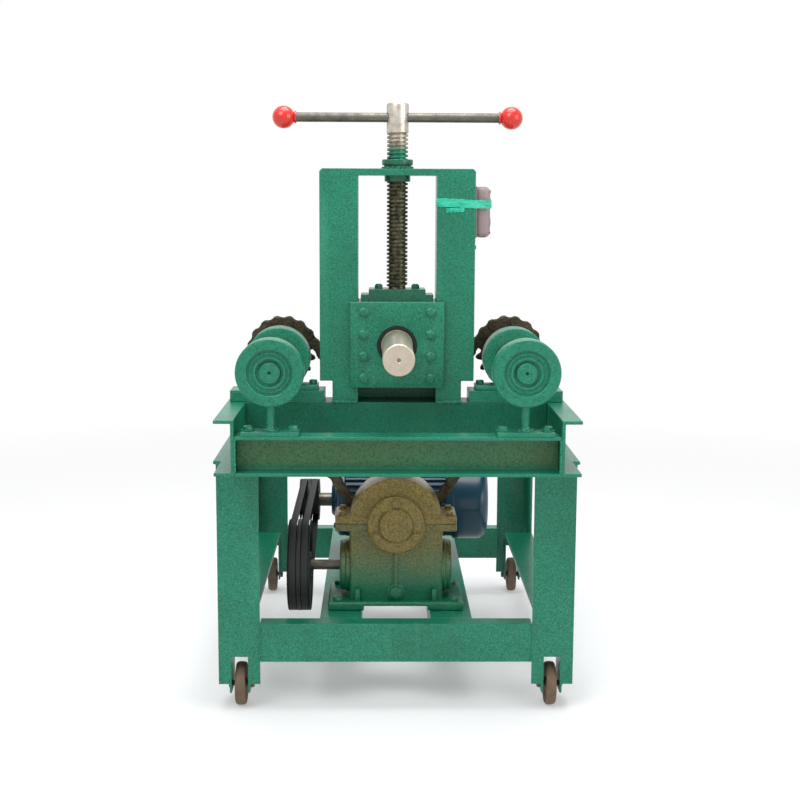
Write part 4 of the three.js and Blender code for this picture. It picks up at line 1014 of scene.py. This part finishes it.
class BENDER_OT_chain(bpy.types.Operator):
    """Models the two roller chains link by link, and their sprockets"""

    bl_idname = "bender.chain"
    bl_label = "Model Chains"

    def execute(self, context):
        link = self.link()
        roller = rod(
            "roller", ROLLER_RADIUS, -ROLLER_HALF * MM, ROLLER_HALF * MM, "y", (0, 0, 0), steps=16,
            rounding=0.4
        )
        pin = rod("pin", PIN_RADIUS, -PIN_HALF * MM, PIN_HALF * MM, "y", (0, 0, 0), steps=12, rounding=0.6)
        bits = []
        planes = {}
        for side, _ in SIDES:
            node = f"roller_sprocket_{side}"
            planes[side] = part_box(node)[1].y - ROW_INSET * MM
            bits += self.loop(("output_sprocket", node), planes[side], (link, roller, pin))
        for source in (link, roller, pin):
            bpy.data.objects.remove(source)
        dressed(joined("roller_chains", bits), "chain", "stand", "chain_steel", "drive_chain")
        self.sprocket("output_sprocket", "output", OUTPUT_BORE, planes.values())
        for side, plane in reversed(planes.items()):
            self.sprocket(f"roller_sprocket_{side}", f"lower_roller_{side}", ROLLER_BORE, [plane])
        return {"FINISHED"}

    def pitch_radius(self):
        """The radius, in metres, of the circle that the chain's rollers lie on."""
        return settings().chain_pitch / 2 / math.sin(math.pi / TEETH)

    def loop(self, nodes, plane, patterns):
        """The links, rollers and pins of one chain round two sprockets."""
        link, roller, pin = patterns
        middles = [middle_of(node) for node in nodes]
        circles = [(middle.x, middle.z, self.pitch_radius()) for middle in middles]
        line = belt_loop(circles, 0, ARC_STEPS)
        length = sum(math.dist(p, q) for p, q in zip(line, line[1:] + line[:1]))
        count = 2 * round(length / settings().chain_pitch / 2)
        places = resampled(line, count)
        bits = []
        for i, (a, b) in enumerate(places):
            c, d = places[(i + 1) % count]
            turn = Matrix.Rotation(-math.atan2(d - b, c - a), 4, "Y")
            depth = (OUTER_LINK_PLACE if i % 2 else INNER_LINK_PLACE) * MM
            for sign in (-1, 1):
                spot = Matrix.Translation(((a + c) / 2, plane + sign * depth, (b + d) / 2))
                bits.append(copied(link, "link", spot @ turn))
            here = Matrix.Translation((a, plane, b))
            bits += [copied(roller, "roller", here), copied(pin, "pin", here)]
        return bits

    def plate(self, corners, radius, place):
        """A flat disc across y, with its radius in metres, left in edit mode."""
        deselect()
        bpy.ops.mesh.primitive_circle_add(
            vertices=corners, radius=radius, fill_type="NGON", location=place,
            rotation=(math.pi / 2, 0, 0)
        )
        bpy.ops.object.mode_set(mode="EDIT")
        bpy.ops.mesh.select_mode(type="VERT")
        return bpy.context.object

    def thickened(self, thickness):
        """Gives the disc in edit mode its thickness, half on each side of its plane."""
        bpy.ops.mesh.select_all(action="SELECT")
        bpy.ops.mesh.extrude_region_move(TRANSFORM_OT_translate={"value": (0, thickness * MM, 0)})
        bpy.ops.mesh.select_all(action="SELECT")
        bpy.ops.transform.translate(value=(0, -thickness * MM / 2, 0))
        return closed_up()

    def link(self):
        """A waisted link plate, flat on the chain's plane."""
        half_pitch = settings().chain_pitch / 2
        piece = self.plate(LINK_CORNERS, LINK_RADIUS * MM, (0, 0, 0))
        for sign in (-1, 1):
            choose(piece, "verts", lambda vert: vert.co.x * sign > LINK_SPLIT * MM)
            bpy.ops.transform.translate(value=(sign * half_pitch, 0, 0))
        choose(piece, "verts", lambda vert: abs(vert.co.x) < half_pitch - LINK_WAIST * MM)
        bpy.ops.transform.resize(value=(1, 1, LINK_WAIST_SHARE))
        return settled(self.thickened(LINK_THICKNESS), "link", rounding=0.3, segments=1)

    def sprocket(self, node, body, bore, planes):
        """A hub with one toothed disc in each plane."""
        x, _, z = middle_of(node)
        front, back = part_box(node)[0].y, size_of(node).y - HUB_INSET
        discs = [self.disc(Vector((x, plane, z))) for plane in planes]
        profile = [
            (bore, 0), (HUB_RADIUS - 1, 0), (HUB_RADIUS, 1), (HUB_RADIUS, back), (bore, back), (bore, 0)
        ]
        hub = spun("hub", profile, "y", (x, 0, z), steps=48, rounding=0.4, base=front)
        dressed(joined(f"{node}_wheel", [*discs, hub]), "chain", body, "dark_iron", node)

    def disc(self, centre):
        """A toothed disc: groups of a circle's corners are drawn in to the roots of the teeth."""
        radius = self.pitch_radius()
        tip = radius + TOOTH_TIP * MM
        corners = TEETH * TOOTH_STEPS
        piece = self.plate(corners, tip, centre)
        for steps, beyond in TOOTH:
            def in_group(vert):
                turn = math.atan2(vert.co.y, vert.co.x) / FULL_TURN
                return round(turn * corners) % TOOTH_STEPS in steps

            choose(piece, "verts", in_group)
            share = (radius + beyond * MM) / tip
            bpy.ops.transform.resize(value=(share, 1, share), center_override=centre)
        return settled(self.thickened(TOOTH_WIDTH), "disc", rounding=0.9)


# Reducer

CASTING_HALF, CASTING_RISE, BASE_THICKNESS, ROOT_HEIGHT = 73, 6, 14, 12
EAR_THICKNESS, EAR_OVERHANG, EAR_BOLT_PLACE, EAR_BOLT_INSET = 12, 1, 84, 11
BASE_BOLT_PLACE, BASE_BOLT_INSET = 92, 12
BOSS_BOLT_PLACE, BOSS_BOLT_RADIUS = 84, 29
RIB_HALF, RIB_DEPTH, RIB_DROP, ROOT_OVERLAP = 3, 5, 44, 2
GUSSET_PLACE, GUSSET_HALF, GUSSET_DEPTH, GUSSET_HEIGHT = 60, 4, 10, 34
DRAIN_HEIGHT, DRAIN_DEPTH = 27, 2
ARCH_HALF, ARCH_HEIGHT, ARCH_OVERRUN = 50, 8, 5
VENT_RIGHT, VENT_BACK, VENT_HEIGHT = 20, 8, 69
FRONT_FACE, FRONT_BOLT_FACE, FRONT_BOLT_RADIUS = 4, 1.4, 36
BOSS = [(9, 66), (42, 66), (42, 78), (40, 79.5), (40, 84), (38, 88), (17, 88), (16, 85), (9, 85)]
DRAIN_BOSS = [(0, -2), (13.5, -2), (15, 1)]
CAP_RIM = [(60, -0.6), (CASTING_HALF, -0.6), (CASTING_HALF, 5), (60, 5)]
FRONT_COVER = [
    (0, -4), (24.4, -4), (26.4, -2.6), (27.4, 0.6), (29, 1.2), (42.6, 1.2), (45.5, 3.4), (45.5, 12), (0, 12)
]


def base_bolts(low, high, place, inset, top):
    """Four foot bolts, at both sides and near both ends of a foot."""
    corners = itertools.product((-place * MM, place * MM), (low.y + inset * MM, high.y - inset * MM))
    return [hex_head("foot_bolt", "z", (x, y, top)) for x, y in corners]


class BENDER_OT_reducer(bpy.types.Operator):
    """Models the reducer's castings, cap, cover and their bolts"""

    bl_idname = "bender.reducer"
    bl_label = "Model Reducer"

    def execute(self, context):
        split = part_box("reducer_housing")[1].z
        low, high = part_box("reducer_cap")
        self.housing(low, high, split)
        self.cap(low, high, split)
        self.cover(split)
        return {"FINISHED"}

    def housing(self, cap_low, cap_high, split):
        """The body on its foot, with bearing bosses, ears, a rib, a drain plug and gussets."""
        low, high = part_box("reducer_housing")
        front, back = cap_low.y, cap_high.y
        half = CASTING_HALF * MM
        foot_top, root = low.z + BASE_THICKNESS * MM, low.z + ROOT_HEIGHT * MM
        overhang, overlap = EAR_OVERHANG * MM, front + ROOT_OVERLAP * MM
        foot = slab("foot", low, (high.x, high.y, foot_top), rounding=3, segments=3)
        body = slab(
            "body", (-half, front, low.z + CASTING_RISE * MM), (half, back, split), rounding=5, segments=3
        )
        ear_low = (cap_low.x, front - overhang, split - EAR_THICKNESS * MM)
        ears = slab("ears", ear_low, (cap_high.x, back + overhang, split), rounding=2)
        rib_low = (-RIB_HALF * MM, front - RIB_DEPTH * MM, root)
        rib = slab("rib", rib_low, (RIB_HALF * MM, overlap, split - RIB_DROP * MM), rounding=1.6)
        drain_z = low.z + DRAIN_HEIGHT * MM
        boss = spun("drain_boss", DRAIN_BOSS, "y", (0, 0, drain_z), steps=32, base=front)
        drain = hex_head("drain", "y", (0, front - DRAIN_DEPTH * MM, drain_z), -1)
        bits = [body, foot, ears, rib, boss, drain]
        _, y, z = middle_of("worm_shaft")
        for sign in (-1, 1):
            bits.append(spun("boss", [(r, sign * d) for r, d in BOSS], "x", (0, y, z)))
            face = (sign * BOSS_BOLT_PLACE * MM, y, z)
            for spot in around("x", face, BOSS_BOLT_RADIUS, 4, FULL_TURN / 8):
                bits.append(hex_head("boss_bolt", "x", spot, sign))
            middle, side = sign * GUSSET_PLACE * MM, GUSSET_HALF * MM
            gusset_low = (middle - side, front - GUSSET_DEPTH * MM, root)
            gusset_high = (middle + side, overlap, low.z + GUSSET_HEIGHT * MM)
            bits.append(slab("gusset", gusset_low, gusset_high, rounding=2))
        bits += base_bolts(low, high, BASE_BOLT_PLACE, BASE_BOLT_INSET, foot_top)
        overrun = ARCH_OVERRUN * MM
        arch_low = (-ARCH_HALF * MM, low.y - overrun, low.z - overrun)
        arch = slab(
            "arch", arch_low, (ARCH_HALF * MM, high.y + overrun, low.z + ARCH_HEIGHT * MM), rounding=2
        )
        carved(foot, arch)
        whole = joined("reducer_casting", bits)
        dressed(whole, "green_body", "stand", "green_paint", "reducer_housing")

    def cap(self, low, high, split):
        """A half-round dome with a rim, on ears that are bolted to the housing's."""
        front, back, overhang = low.y, high.y, EAR_OVERHANG * MM
        ear_top = split + EAR_THICKNESS * MM
        dome = kept_above(
            rod("dome", CASTING_HALF, front, back, "y", (0, 0, split), steps=96, rounding=4), split
        )
        rim = kept_above(spun("rim", CAP_RIM, "y", (0, 0, split), steps=96, rounding=1.2, base=front), split)
        lid = slab("lid", (low.x, front - overhang, split), (high.x, back + overhang, ear_top), rounding=2)
        vent_y = (front + back) / 2 + VENT_BACK * MM
        vent = hex_head("vent", "z", (VENT_RIGHT * MM, vent_y, split + VENT_HEIGHT * MM))
        bits = [dome, rim, lid, vent]
        side, inset = EAR_BOLT_PLACE * MM, EAR_BOLT_INSET * MM
        for x, y in itertools.product((-side, side), (front + inset, back - inset)):
            spot = (x, y, ear_top)
            bits += [washer("cap_washer", "z", spot), hex_head("cap_bolt", "z", spot)]
        dressed(joined("reducer_dome", bits), "gold", "stand", "gold_paint", "reducer_cap")

    def cover(self, split):
        """The round front cover with its three bolts."""
        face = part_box("reducer_cover")[0].y + FRONT_FACE * MM
        steps = settings().round_steps
        bits = [spun("disc", FRONT_COVER, "y", (0, 0, split), steps=steps, rounding=0.8, base=face)]
        centre = (0, face + FRONT_BOLT_FACE * MM, split)
        for spot in around("y", centre, FRONT_BOLT_RADIUS, 3, FULL_TURN / 4):
            bits += [washer("front_washer", "y", spot, -1), hex_head("front_bolt", "y", spot, -1)]
        dressed(joined("reducer_front_cover", bits), "gold", "stand", "gold_paint", "reducer_cover")


# Belt drive

PULLEY_HALF, PULLEY_BORE, RIM_DEPTH, WEB_DEPTH = 17.6, 12.4, 9, 15
GROOVE_PLACE, GROOVE_DEPTH, GROOVE_TOP, GROOVE_ROOT = 9.5, 10.2, 6.4, 4.6
BELT_RADII, BELT_OFFSET = {"worm_pulley": 68, "motor_pulley": 33}, 4.3
BELT_WIDTH, BELT_INSIDE, BELT_DEPTH = 11.2, 8, 8.1


class BENDER_OT_belt_drive(bpy.types.Operator):
    """Models the pulleys and the two belts"""

    bl_idname = "bender.belt_drive"
    bl_label = "Model Belt Drive"

    def execute(self, context):
        self.pulley("worm_pulley", "worm", True)
        self.pulley("motor_pulley", "motor_rotor", False)
        for place in ("inner", "outer"):
            self.belt(place)
        return {"FINISHED"}

    def pulley(self, node, body, webbed):
        """A rim with two V grooves, on a hub with a thin web or a solid one."""
        x, y, z = middle_of(node)
        radius = size_of(node).z / 2
        half, inner = PULLEY_HALF, radius - WEB_DEPTH
        profile = [(radius - RIM_DEPTH, -half), (radius - 1, -half), (radius, 1 - half)]
        for place in (-GROOVE_PLACE, GROOVE_PLACE):
            profile += [
                (radius, place - GROOVE_TOP), (radius - GROOVE_DEPTH, place - GROOVE_ROOT),
                (radius - GROOVE_DEPTH, place + GROOVE_ROOT), (radius, place + GROOVE_TOP)
            ]
        profile += [(radius, half - 1), (radius - 1, half), (radius - RIM_DEPTH, half), (inner, half - 2)]
        if webbed:
            profile += [
                (inner, 5), (22, 4), (20, half), (PULLEY_BORE, half), (PULLEY_BORE, -half), (20, -half),
                (22, -4), (inner, -5)
            ]
        else:
            profile += [(PULLEY_BORE, half - 2), (PULLEY_BORE, 2 - half)]
        profile += [(inner, 2 - half), profile[0]]
        piece = spun(
            f"{node}_wheel", profile, "x", (0, y, z), steps=settings().round_steps, rounding=0.4, base=x
        )
        dressed(piece, "iron", body, "dark_iron", node)

    def belt(self, place):
        """A V belt: its line round the pulleys is widened into a band, which is thickened inward."""
        node = f"drive_belt_{place}"
        middle = middle_of(node).x
        circles = []
        for pulley, radius in BELT_RADII.items():
            _, y, z = middle_of(pulley)
            circles.append((y, z, radius * MM))
        line = belt_loop(circles, BELT_OFFSET * MM, 28)
        piece = drawn([Vector((middle - BELT_WIDTH * MM / 2, a, b)) for a, b in line])
        choose(piece, "verts", lambda vert: len(vert.link_edges) == 1)
        bpy.ops.mesh.edge_face_add()
        bpy.ops.mesh.select_all(action="SELECT")
        bpy.ops.mesh.extrude_region_move(TRANSFORM_OT_translate={"value": (BELT_WIDTH * MM, 0, 0)})
        bpy.ops.mesh.select_all(action="SELECT")
        bpy.ops.mesh.normals_make_consistent(inside=False)
        bpy.ops.mesh.extrude_region_move()
        bpy.ops.transform.shrink_fatten(value=-BELT_DEPTH * MM)
        narrowing = (BELT_INSIDE / BELT_WIDTH, 1, 1)
        bpy.ops.transform.resize(value=narrowing, center_override=(middle, 0, 0))
        piece = settled(closed_up(), f"v_belt_{place}", rounding=0.7, segments=2, angle=40)
        dressed(piece, "rubber", "stand", "belt_rubber", node)


# Motor and casters

MOTOR_NOSE = [
    (0, 2), (14, 2), (20, 0), (26, 0), (30, 5), (52, 9), (60, 10), (65, 14), (65.5, 24), (61, 26)
]
MOTOR_COWL = [(61, -76), (65.5, -74), (65.5, -64), (68, -62), (70, -60)]
MOTOR_END = [(38, -0.4), (37, -3), (0, -3)]
COWL_CORNER, COWL_REACH = 18, 52
FINS, FIN_HALF, FIN_ROOT, FIN_TOP, FIN_START, FIN_STOP = 36, 1.3, 58, 66, 25, 75
SHIELD_BOLT_PLACE, SHIELD_BOLT_RADIUS = 10, 55
MOTOR_FOOT_HALF, MOTOR_FOOT, MOTOR_BOLT_PLACE, MOTOR_BOLT_INSET = 85, 10, 70, 14
PEDESTAL_HALF, PEDESTAL_DEPTH, PEDESTAL_DROP, PEDESTAL_RISE = 80, 42, 52, 5
CASTER_HALF, AXLE_RADIUS, AXLE_INSET, AXLE_HEAD_INSET = 8, 4, 1, 4
CASTER_SIDE = [(4.3, 0), (9, 0), (10, 3.5), (25, 4.4), (28, 1), (30.4, 0), (32.2, 2), (33, 5)]


class BENDER_OT_motor(bpy.types.Operator):
    """Models the motor with its fins, end shield and fan cowl"""

    bl_idname = "bender.motor"
    bl_label = "Model Motor"

    def execute(self, context):
        low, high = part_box("motor_body")
        middle = Vector((0, (low.y + high.y) / 2, middle_of("motor_shaft").z))
        length = size_of("motor_body").x
        turns = [math.radians(angle) for angle in range(0, 91, 10)]
        corner = [
            (COWL_REACH + COWL_CORNER * math.cos(a), COWL_CORNER * (math.sin(a) - 1)) for a in turns
        ]
        rear = [(r, length + d) for r, d in (*MOTOR_COWL, *corner, *MOTOR_END)]
        bits = [spun("barrel", [*MOTOR_NOSE, *rear], "x", middle, steps=72, rounding=0.5, base=low.x)]
        half = FIN_HALF * MM
        fin_low = (low.x + FIN_START * MM, middle.y - half, middle.z + FIN_ROOT * MM)
        fin = slab(
            "fin", fin_low, (high.x - FIN_STOP * MM, middle.y + half, middle.z + FIN_TOP * MM),
            rounding=0.8
        )
        there, back = Matrix.Translation(middle), Matrix.Translation(-middle)
        for i in range(FINS):
            turn = Matrix.Rotation(FULL_TURN * (i + 0.5) / FINS, 4, "X")
            bits.append(copied(fin, "fin", there @ turn @ back))
        bpy.data.objects.remove(fin)
        shield = (low.x + SHIELD_BOLT_PLACE * MM, middle.y, middle.z)
        for spot in around("x", shield, SHIELD_BOLT_RADIUS, 4, FULL_TURN / 8):
            bits.append(hex_head("shield_bolt", "x", spot, -1))
        foot_top, half = low.z + MOTOR_FOOT * MM, MOTOR_FOOT_HALF * MM
        bits.append(slab("foot", (-half, low.y, low.z), (half, high.y, foot_top), rounding=2))
        side, depth = PEDESTAL_HALF * MM, PEDESTAL_DEPTH * MM
        pedestal_low = (-side, middle.y - depth, low.z + PEDESTAL_RISE * MM)
        pedestal_high = (side, middle.y + depth, middle.z - PEDESTAL_DROP * MM)
        bits.append(slab("pedestal", pedestal_low, pedestal_high, rounding=4))
        bits += base_bolts(low, high, MOTOR_BOLT_PLACE, MOTOR_BOLT_INSET, foot_top)
        dressed(joined("drive_motor", bits), "blue", "stand", "blue_paint", "motor_body")
        return {"FINISHED"}


class BENDER_OT_casters(bpy.types.Operator):
    """Models the four caster wheels and their axles"""

    bl_idname = "bender.casters"
    bl_label = "Model Casters"

    def execute(self, context):
        left = [(r, d - CASTER_HALF) for r, d in CASTER_SIDE]
        right = [(r, -d) for r, d in reversed(left)]
        for end in ENDS:
            x, y, z = middle_of(f"caster_wheel_{end}")
            wheel = spun(
                f"wheel_{end}", [*left, *right, left[0]], "x", (0, y, z), steps=56, rounding=0.4, base=x
            )
            dressed(wheel, "rust", f"wheel_{end}", "wheel_iron", f"caster_wheel_{end}")
            node = f"caster_axle_{end}"
            low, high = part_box(node)
            inset, head_inset = AXLE_INSET * MM, AXLE_HEAD_INSET * MM
            pin = rod(
                "pin", AXLE_RADIUS, low.x + inset, high.x - inset, "x", (0, y, z), steps=24, rounding=0.4
            )
            head = hex_head("axle_bolt", "x", (low.x + head_inset, y, z), -1)
            nut = hex_head("axle_bolt", "x", (high.x - head_inset, y, z))
            dressed(joined(f"axle_{end}", [pin, head, nut]), "rust", "stand", "worn_steel", node)
        return {"FINISHED"}


# Switch box and welds

BUTTONS = (("forward", "red", "red_plastic"), ("reverse", "black", "black_plastic"))
FILM_STRIPS = (  # both ends along x, height, width and seed
    (58, 141, 768, 12.5, 5),
    (72.5, 100, 758.5, 6.5, 8),
)
FILM_THICKNESS, FILM_CRUMPLE, FILM_LIFT, FILM_WAVE = 0.3, 0.9, 0.4, 1.2
COLUMN_EDGE = 117
BOX_ROUNDING, BOX_RIM_THICKNESS, BOX_RIM_EDGE = 8.5, 3, 0.6
POCKET_RADIUS, POCKET_DEPTH, POCKET_OVERRUN = 8.3, 7.4, 4
LID_SCREW_INSET, LID_SCREW_DEPTH = 7, 0.1
PANEL_SCREW_BACK, PANEL_SCREW_DROP = 14, 15


class BENDER_OT_switch(bpy.types.Operator):
    """Models the switch box, its buttons, the film that holds its lead and the screw below it"""

    bl_idname = "bender.switch"
    bl_label = "Model Switch Box"

    def execute(self, context):
        low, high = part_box("switch_box")
        lid = slab("lid", low, high, rounding=BOX_ROUNDING, segments=5)
        ends = high.x - POCKET_DEPTH * MM, high.x + POCKET_OVERRUN * MM
        for name, _, _ in BUTTONS:
            _, y, z = middle_of(f"button_{name}")
            carved(lid, rod("hole", POCKET_RADIUS, *ends, "x", (0, y, z), steps=40, rounding=0))
        edge = Vector((0, BOX_RIM_EDGE, BOX_RIM_EDGE)) * MM
        rim_high = Vector((low.x + BOX_RIM_THICKNESS * MM, high.y, high.z)) + edge
        rim = slab("rim", low - edge, rim_high, rounding=1.4)
        bits = [lid, rim]
        inset = LID_SCREW_INSET * MM
        for y, z in itertools.product((low.y + inset, high.y - inset), (low.z + inset, high.z - inset)):
            bits.append(washer("lid_screw", "x", (high.x - LID_SCREW_DEPTH * MM, y, z)))
        dressed(joined("switch_housing", bits), "grey", "stand", "grey_plastic", "switch_box")
        for name, paint, slot in BUTTONS:
            node = f"button_{name}"
            _, y, z = middle_of(node)
            out = size_of(node).x
            profile = [(0, 0), (8, 0), (8, out - 1), (7, out), (4, out - 0.5), (0, out - 0.8)]
            cap = spun(
                f"{node}_cap", profile, "x", (0, y, z), steps=40, rounding=0.3, base=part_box(node)[0].x
            )
            dressed(cap, paint, f"{name}_button", slot, node)
        strips = [self.film(low.y, *strip) for strip in FILM_STRIPS]
        dressed(joined("lead_film", strips), "tape", "stand", "grey_plastic")
        spot = (low.x, low.y + PANEL_SCREW_BACK * MM, low.z - PANEL_SCREW_DROP * MM)
        screw = hex_head("panel_screw", "x", spot)
        dressed(screw, "bar", "stand", "worn_steel")
        return {"FINISHED"}

    def film(self, box_front, start, end, height, width, seed):
        """A strip of film stuck over the column's face and the front of the box, and crumpled."""
        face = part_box("head_frame")[0].y
        deselect()
        bpy.ops.mesh.primitive_plane_add(
            size=1, location=((start + end) / 2 * MM, face - FILM_CRUMPLE * MM, height * MM),
            rotation=(math.pi / 2, 0, 0)
        )
        strip = bpy.context.object
        strip.scale = ((end - start) * MM, width * MM, 1)
        bpy.ops.object.transform_apply(location=True, rotation=True, scale=True)
        bpy.ops.object.mode_set(mode="EDIT")
        bpy.ops.mesh.select_all(action="SELECT")
        bpy.ops.mesh.subdivide(number_cuts=17)
        bpy.ops.transform.vertex_random(offset=FILM_CRUMPLE * MM, seed=seed)
        bpy.ops.object.mode_set(mode="OBJECT")
        for vert in strip.data.vertices:
            beyond = vert.co.x - COLUMN_EDGE * MM
            vert.co.y = min(vert.co.y, face - FILM_LIFT * MM)
            if beyond > 0:
                vert.co.y = min(vert.co.y + beyond * 0.3, box_front - FILM_LIFT * MM)
            vert.co.z += FILM_WAVE * MM * math.sin(vert.co.x * 45 + seed)
        applied(strip, "Thickness", "SOLIDIFY", thickness=FILM_THICKNESS * MM)
        return settled(strip, "film")


COLUMN_WELD, BEAM_WELD_PLACE, LEG_WELD_END = (61, 97), 229, 269
BEAM_WELD_INSET, RAIL_WELD_INSET = 6, 2
WELD_STAND, COLUMN_LIFT, LEG_LIFT = 1, 0.5, 0.2


class BENDER_OT_welds(bpy.types.Operator):
    """Lays the weld beads at the feet of the columns, the beam ends and the tops of the legs"""

    bl_idname = "bender.welds"
    bl_label = "Lay Weld Beads"

    def execute(self, context):
        head_front, head_back = (corner.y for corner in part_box("head_frame"))
        stand, column_lift, leg_lift = WELD_STAND * MM, COLUMN_LIFT * MM, LEG_LIFT * MM
        beam_inset, rail_inset = BEAM_WELD_INSET * MM, RAIL_WELD_INSET * MM
        beam_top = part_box("cross_beam")[1].z + stand
        beam_low, beam_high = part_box("front_beam")
        rail_low, rail_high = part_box("bottom_rail_front")
        leg_front, leg_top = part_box("leg_front_right")[0].y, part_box("leg_front_right")[1].z
        column = [x * MM for x in COLUMN_WELD]
        beam_ends = [BEAM_WELD_PLACE * MM] * 2
        beam = (beam_low.z + beam_inset, beam_high.z - beam_inset)
        rail = (rail_low.z + rail_inset, rail_high.z - rail_inset)
        leg = (rail_high.x + stand, LEG_WELD_END * MM)
        lines = (  # both ends along x, the place along y, both heights, the radius and the seed
            (column, head_front - column_lift, (beam_top, beam_top), COLUMN_BEAD, 0),
            (column, head_back + column_lift, (beam_top, beam_top), COLUMN_BEAD, 3),
            (beam_ends, beam_low.y + stand, beam, BEAM_BEAD, 5),
            ((rail_high.x, rail_high.x), leg_front - leg_lift, rail, THIN_BEAD, 7),
            (leg, leg_front + stand, (leg_top, leg_top), THIN_BEAD, 9),
        )
        beads = []
        for (_, sign), (across, y, heights, radius, seed) in itertools.product(SIDES, lines):
            start, end = ((sign * x, y, z) for x, z in zip(across, heights))
            beads.append(bead(start, end, radius, sign + seed))
        dressed(joined("weld_beads", beads), "green", "stand", "green_paint")
        return {"FINISHED"}


class BENDER_PT_panel(bpy.types.Panel):
    bl_label = "Pipe Bender"
    bl_idname = "BENDER_PT_panel"
    bl_space_type = "VIEW_3D"
    bl_region_type = "UI"
    bl_category = "Bender"

    def draw(self, context):
        for name in BenderSettings.__annotations__:
            self.layout.prop(context.scene.bender_settings, name)
        for operator in OPERATORS:
            self.layout.operator(operator.bl_idname)


OPERATORS = (
    BENDER_OT_camera,
    BENDER_OT_stage,
    BENDER_OT_frame_steel,
    BENDER_OT_bearings,
    BENDER_OT_shafts,
    BENDER_OT_cover_plate,
    BENDER_OT_screw,
    BENDER_OT_handle,
    BENDER_OT_chain,
    BENDER_OT_reducer,
    BENDER_OT_belt_drive,
    BENDER_OT_motor,
    BENDER_OT_casters,
    BENDER_OT_switch,
    BENDER_OT_welds,
)


def register():
    bpy.utils.register_class(BenderSettings)
    bpy.types.Scene.bender_settings = bpy.props.PointerProperty(type=BenderSettings)
    for operator in OPERATORS:
        bpy.utils.register_class(operator)
    bpy.utils.register_class(BENDER_PT_panel)


def unregister():
    bpy.utils.unregister_class(BENDER_PT_panel)
    for operator in reversed(OPERATORS):
        bpy.utils.unregister_class(operator)
    del bpy.types.Scene.bender_settings
    bpy.utils.unregister_class(BenderSettings)


def main():
    register()
    for operator in OPERATORS:
        group, name = operator.bl_idname.split(".")
        getattr(getattr(bpy.ops, group), name)()
    deselect()


if __name__ == "__main__":
    main()
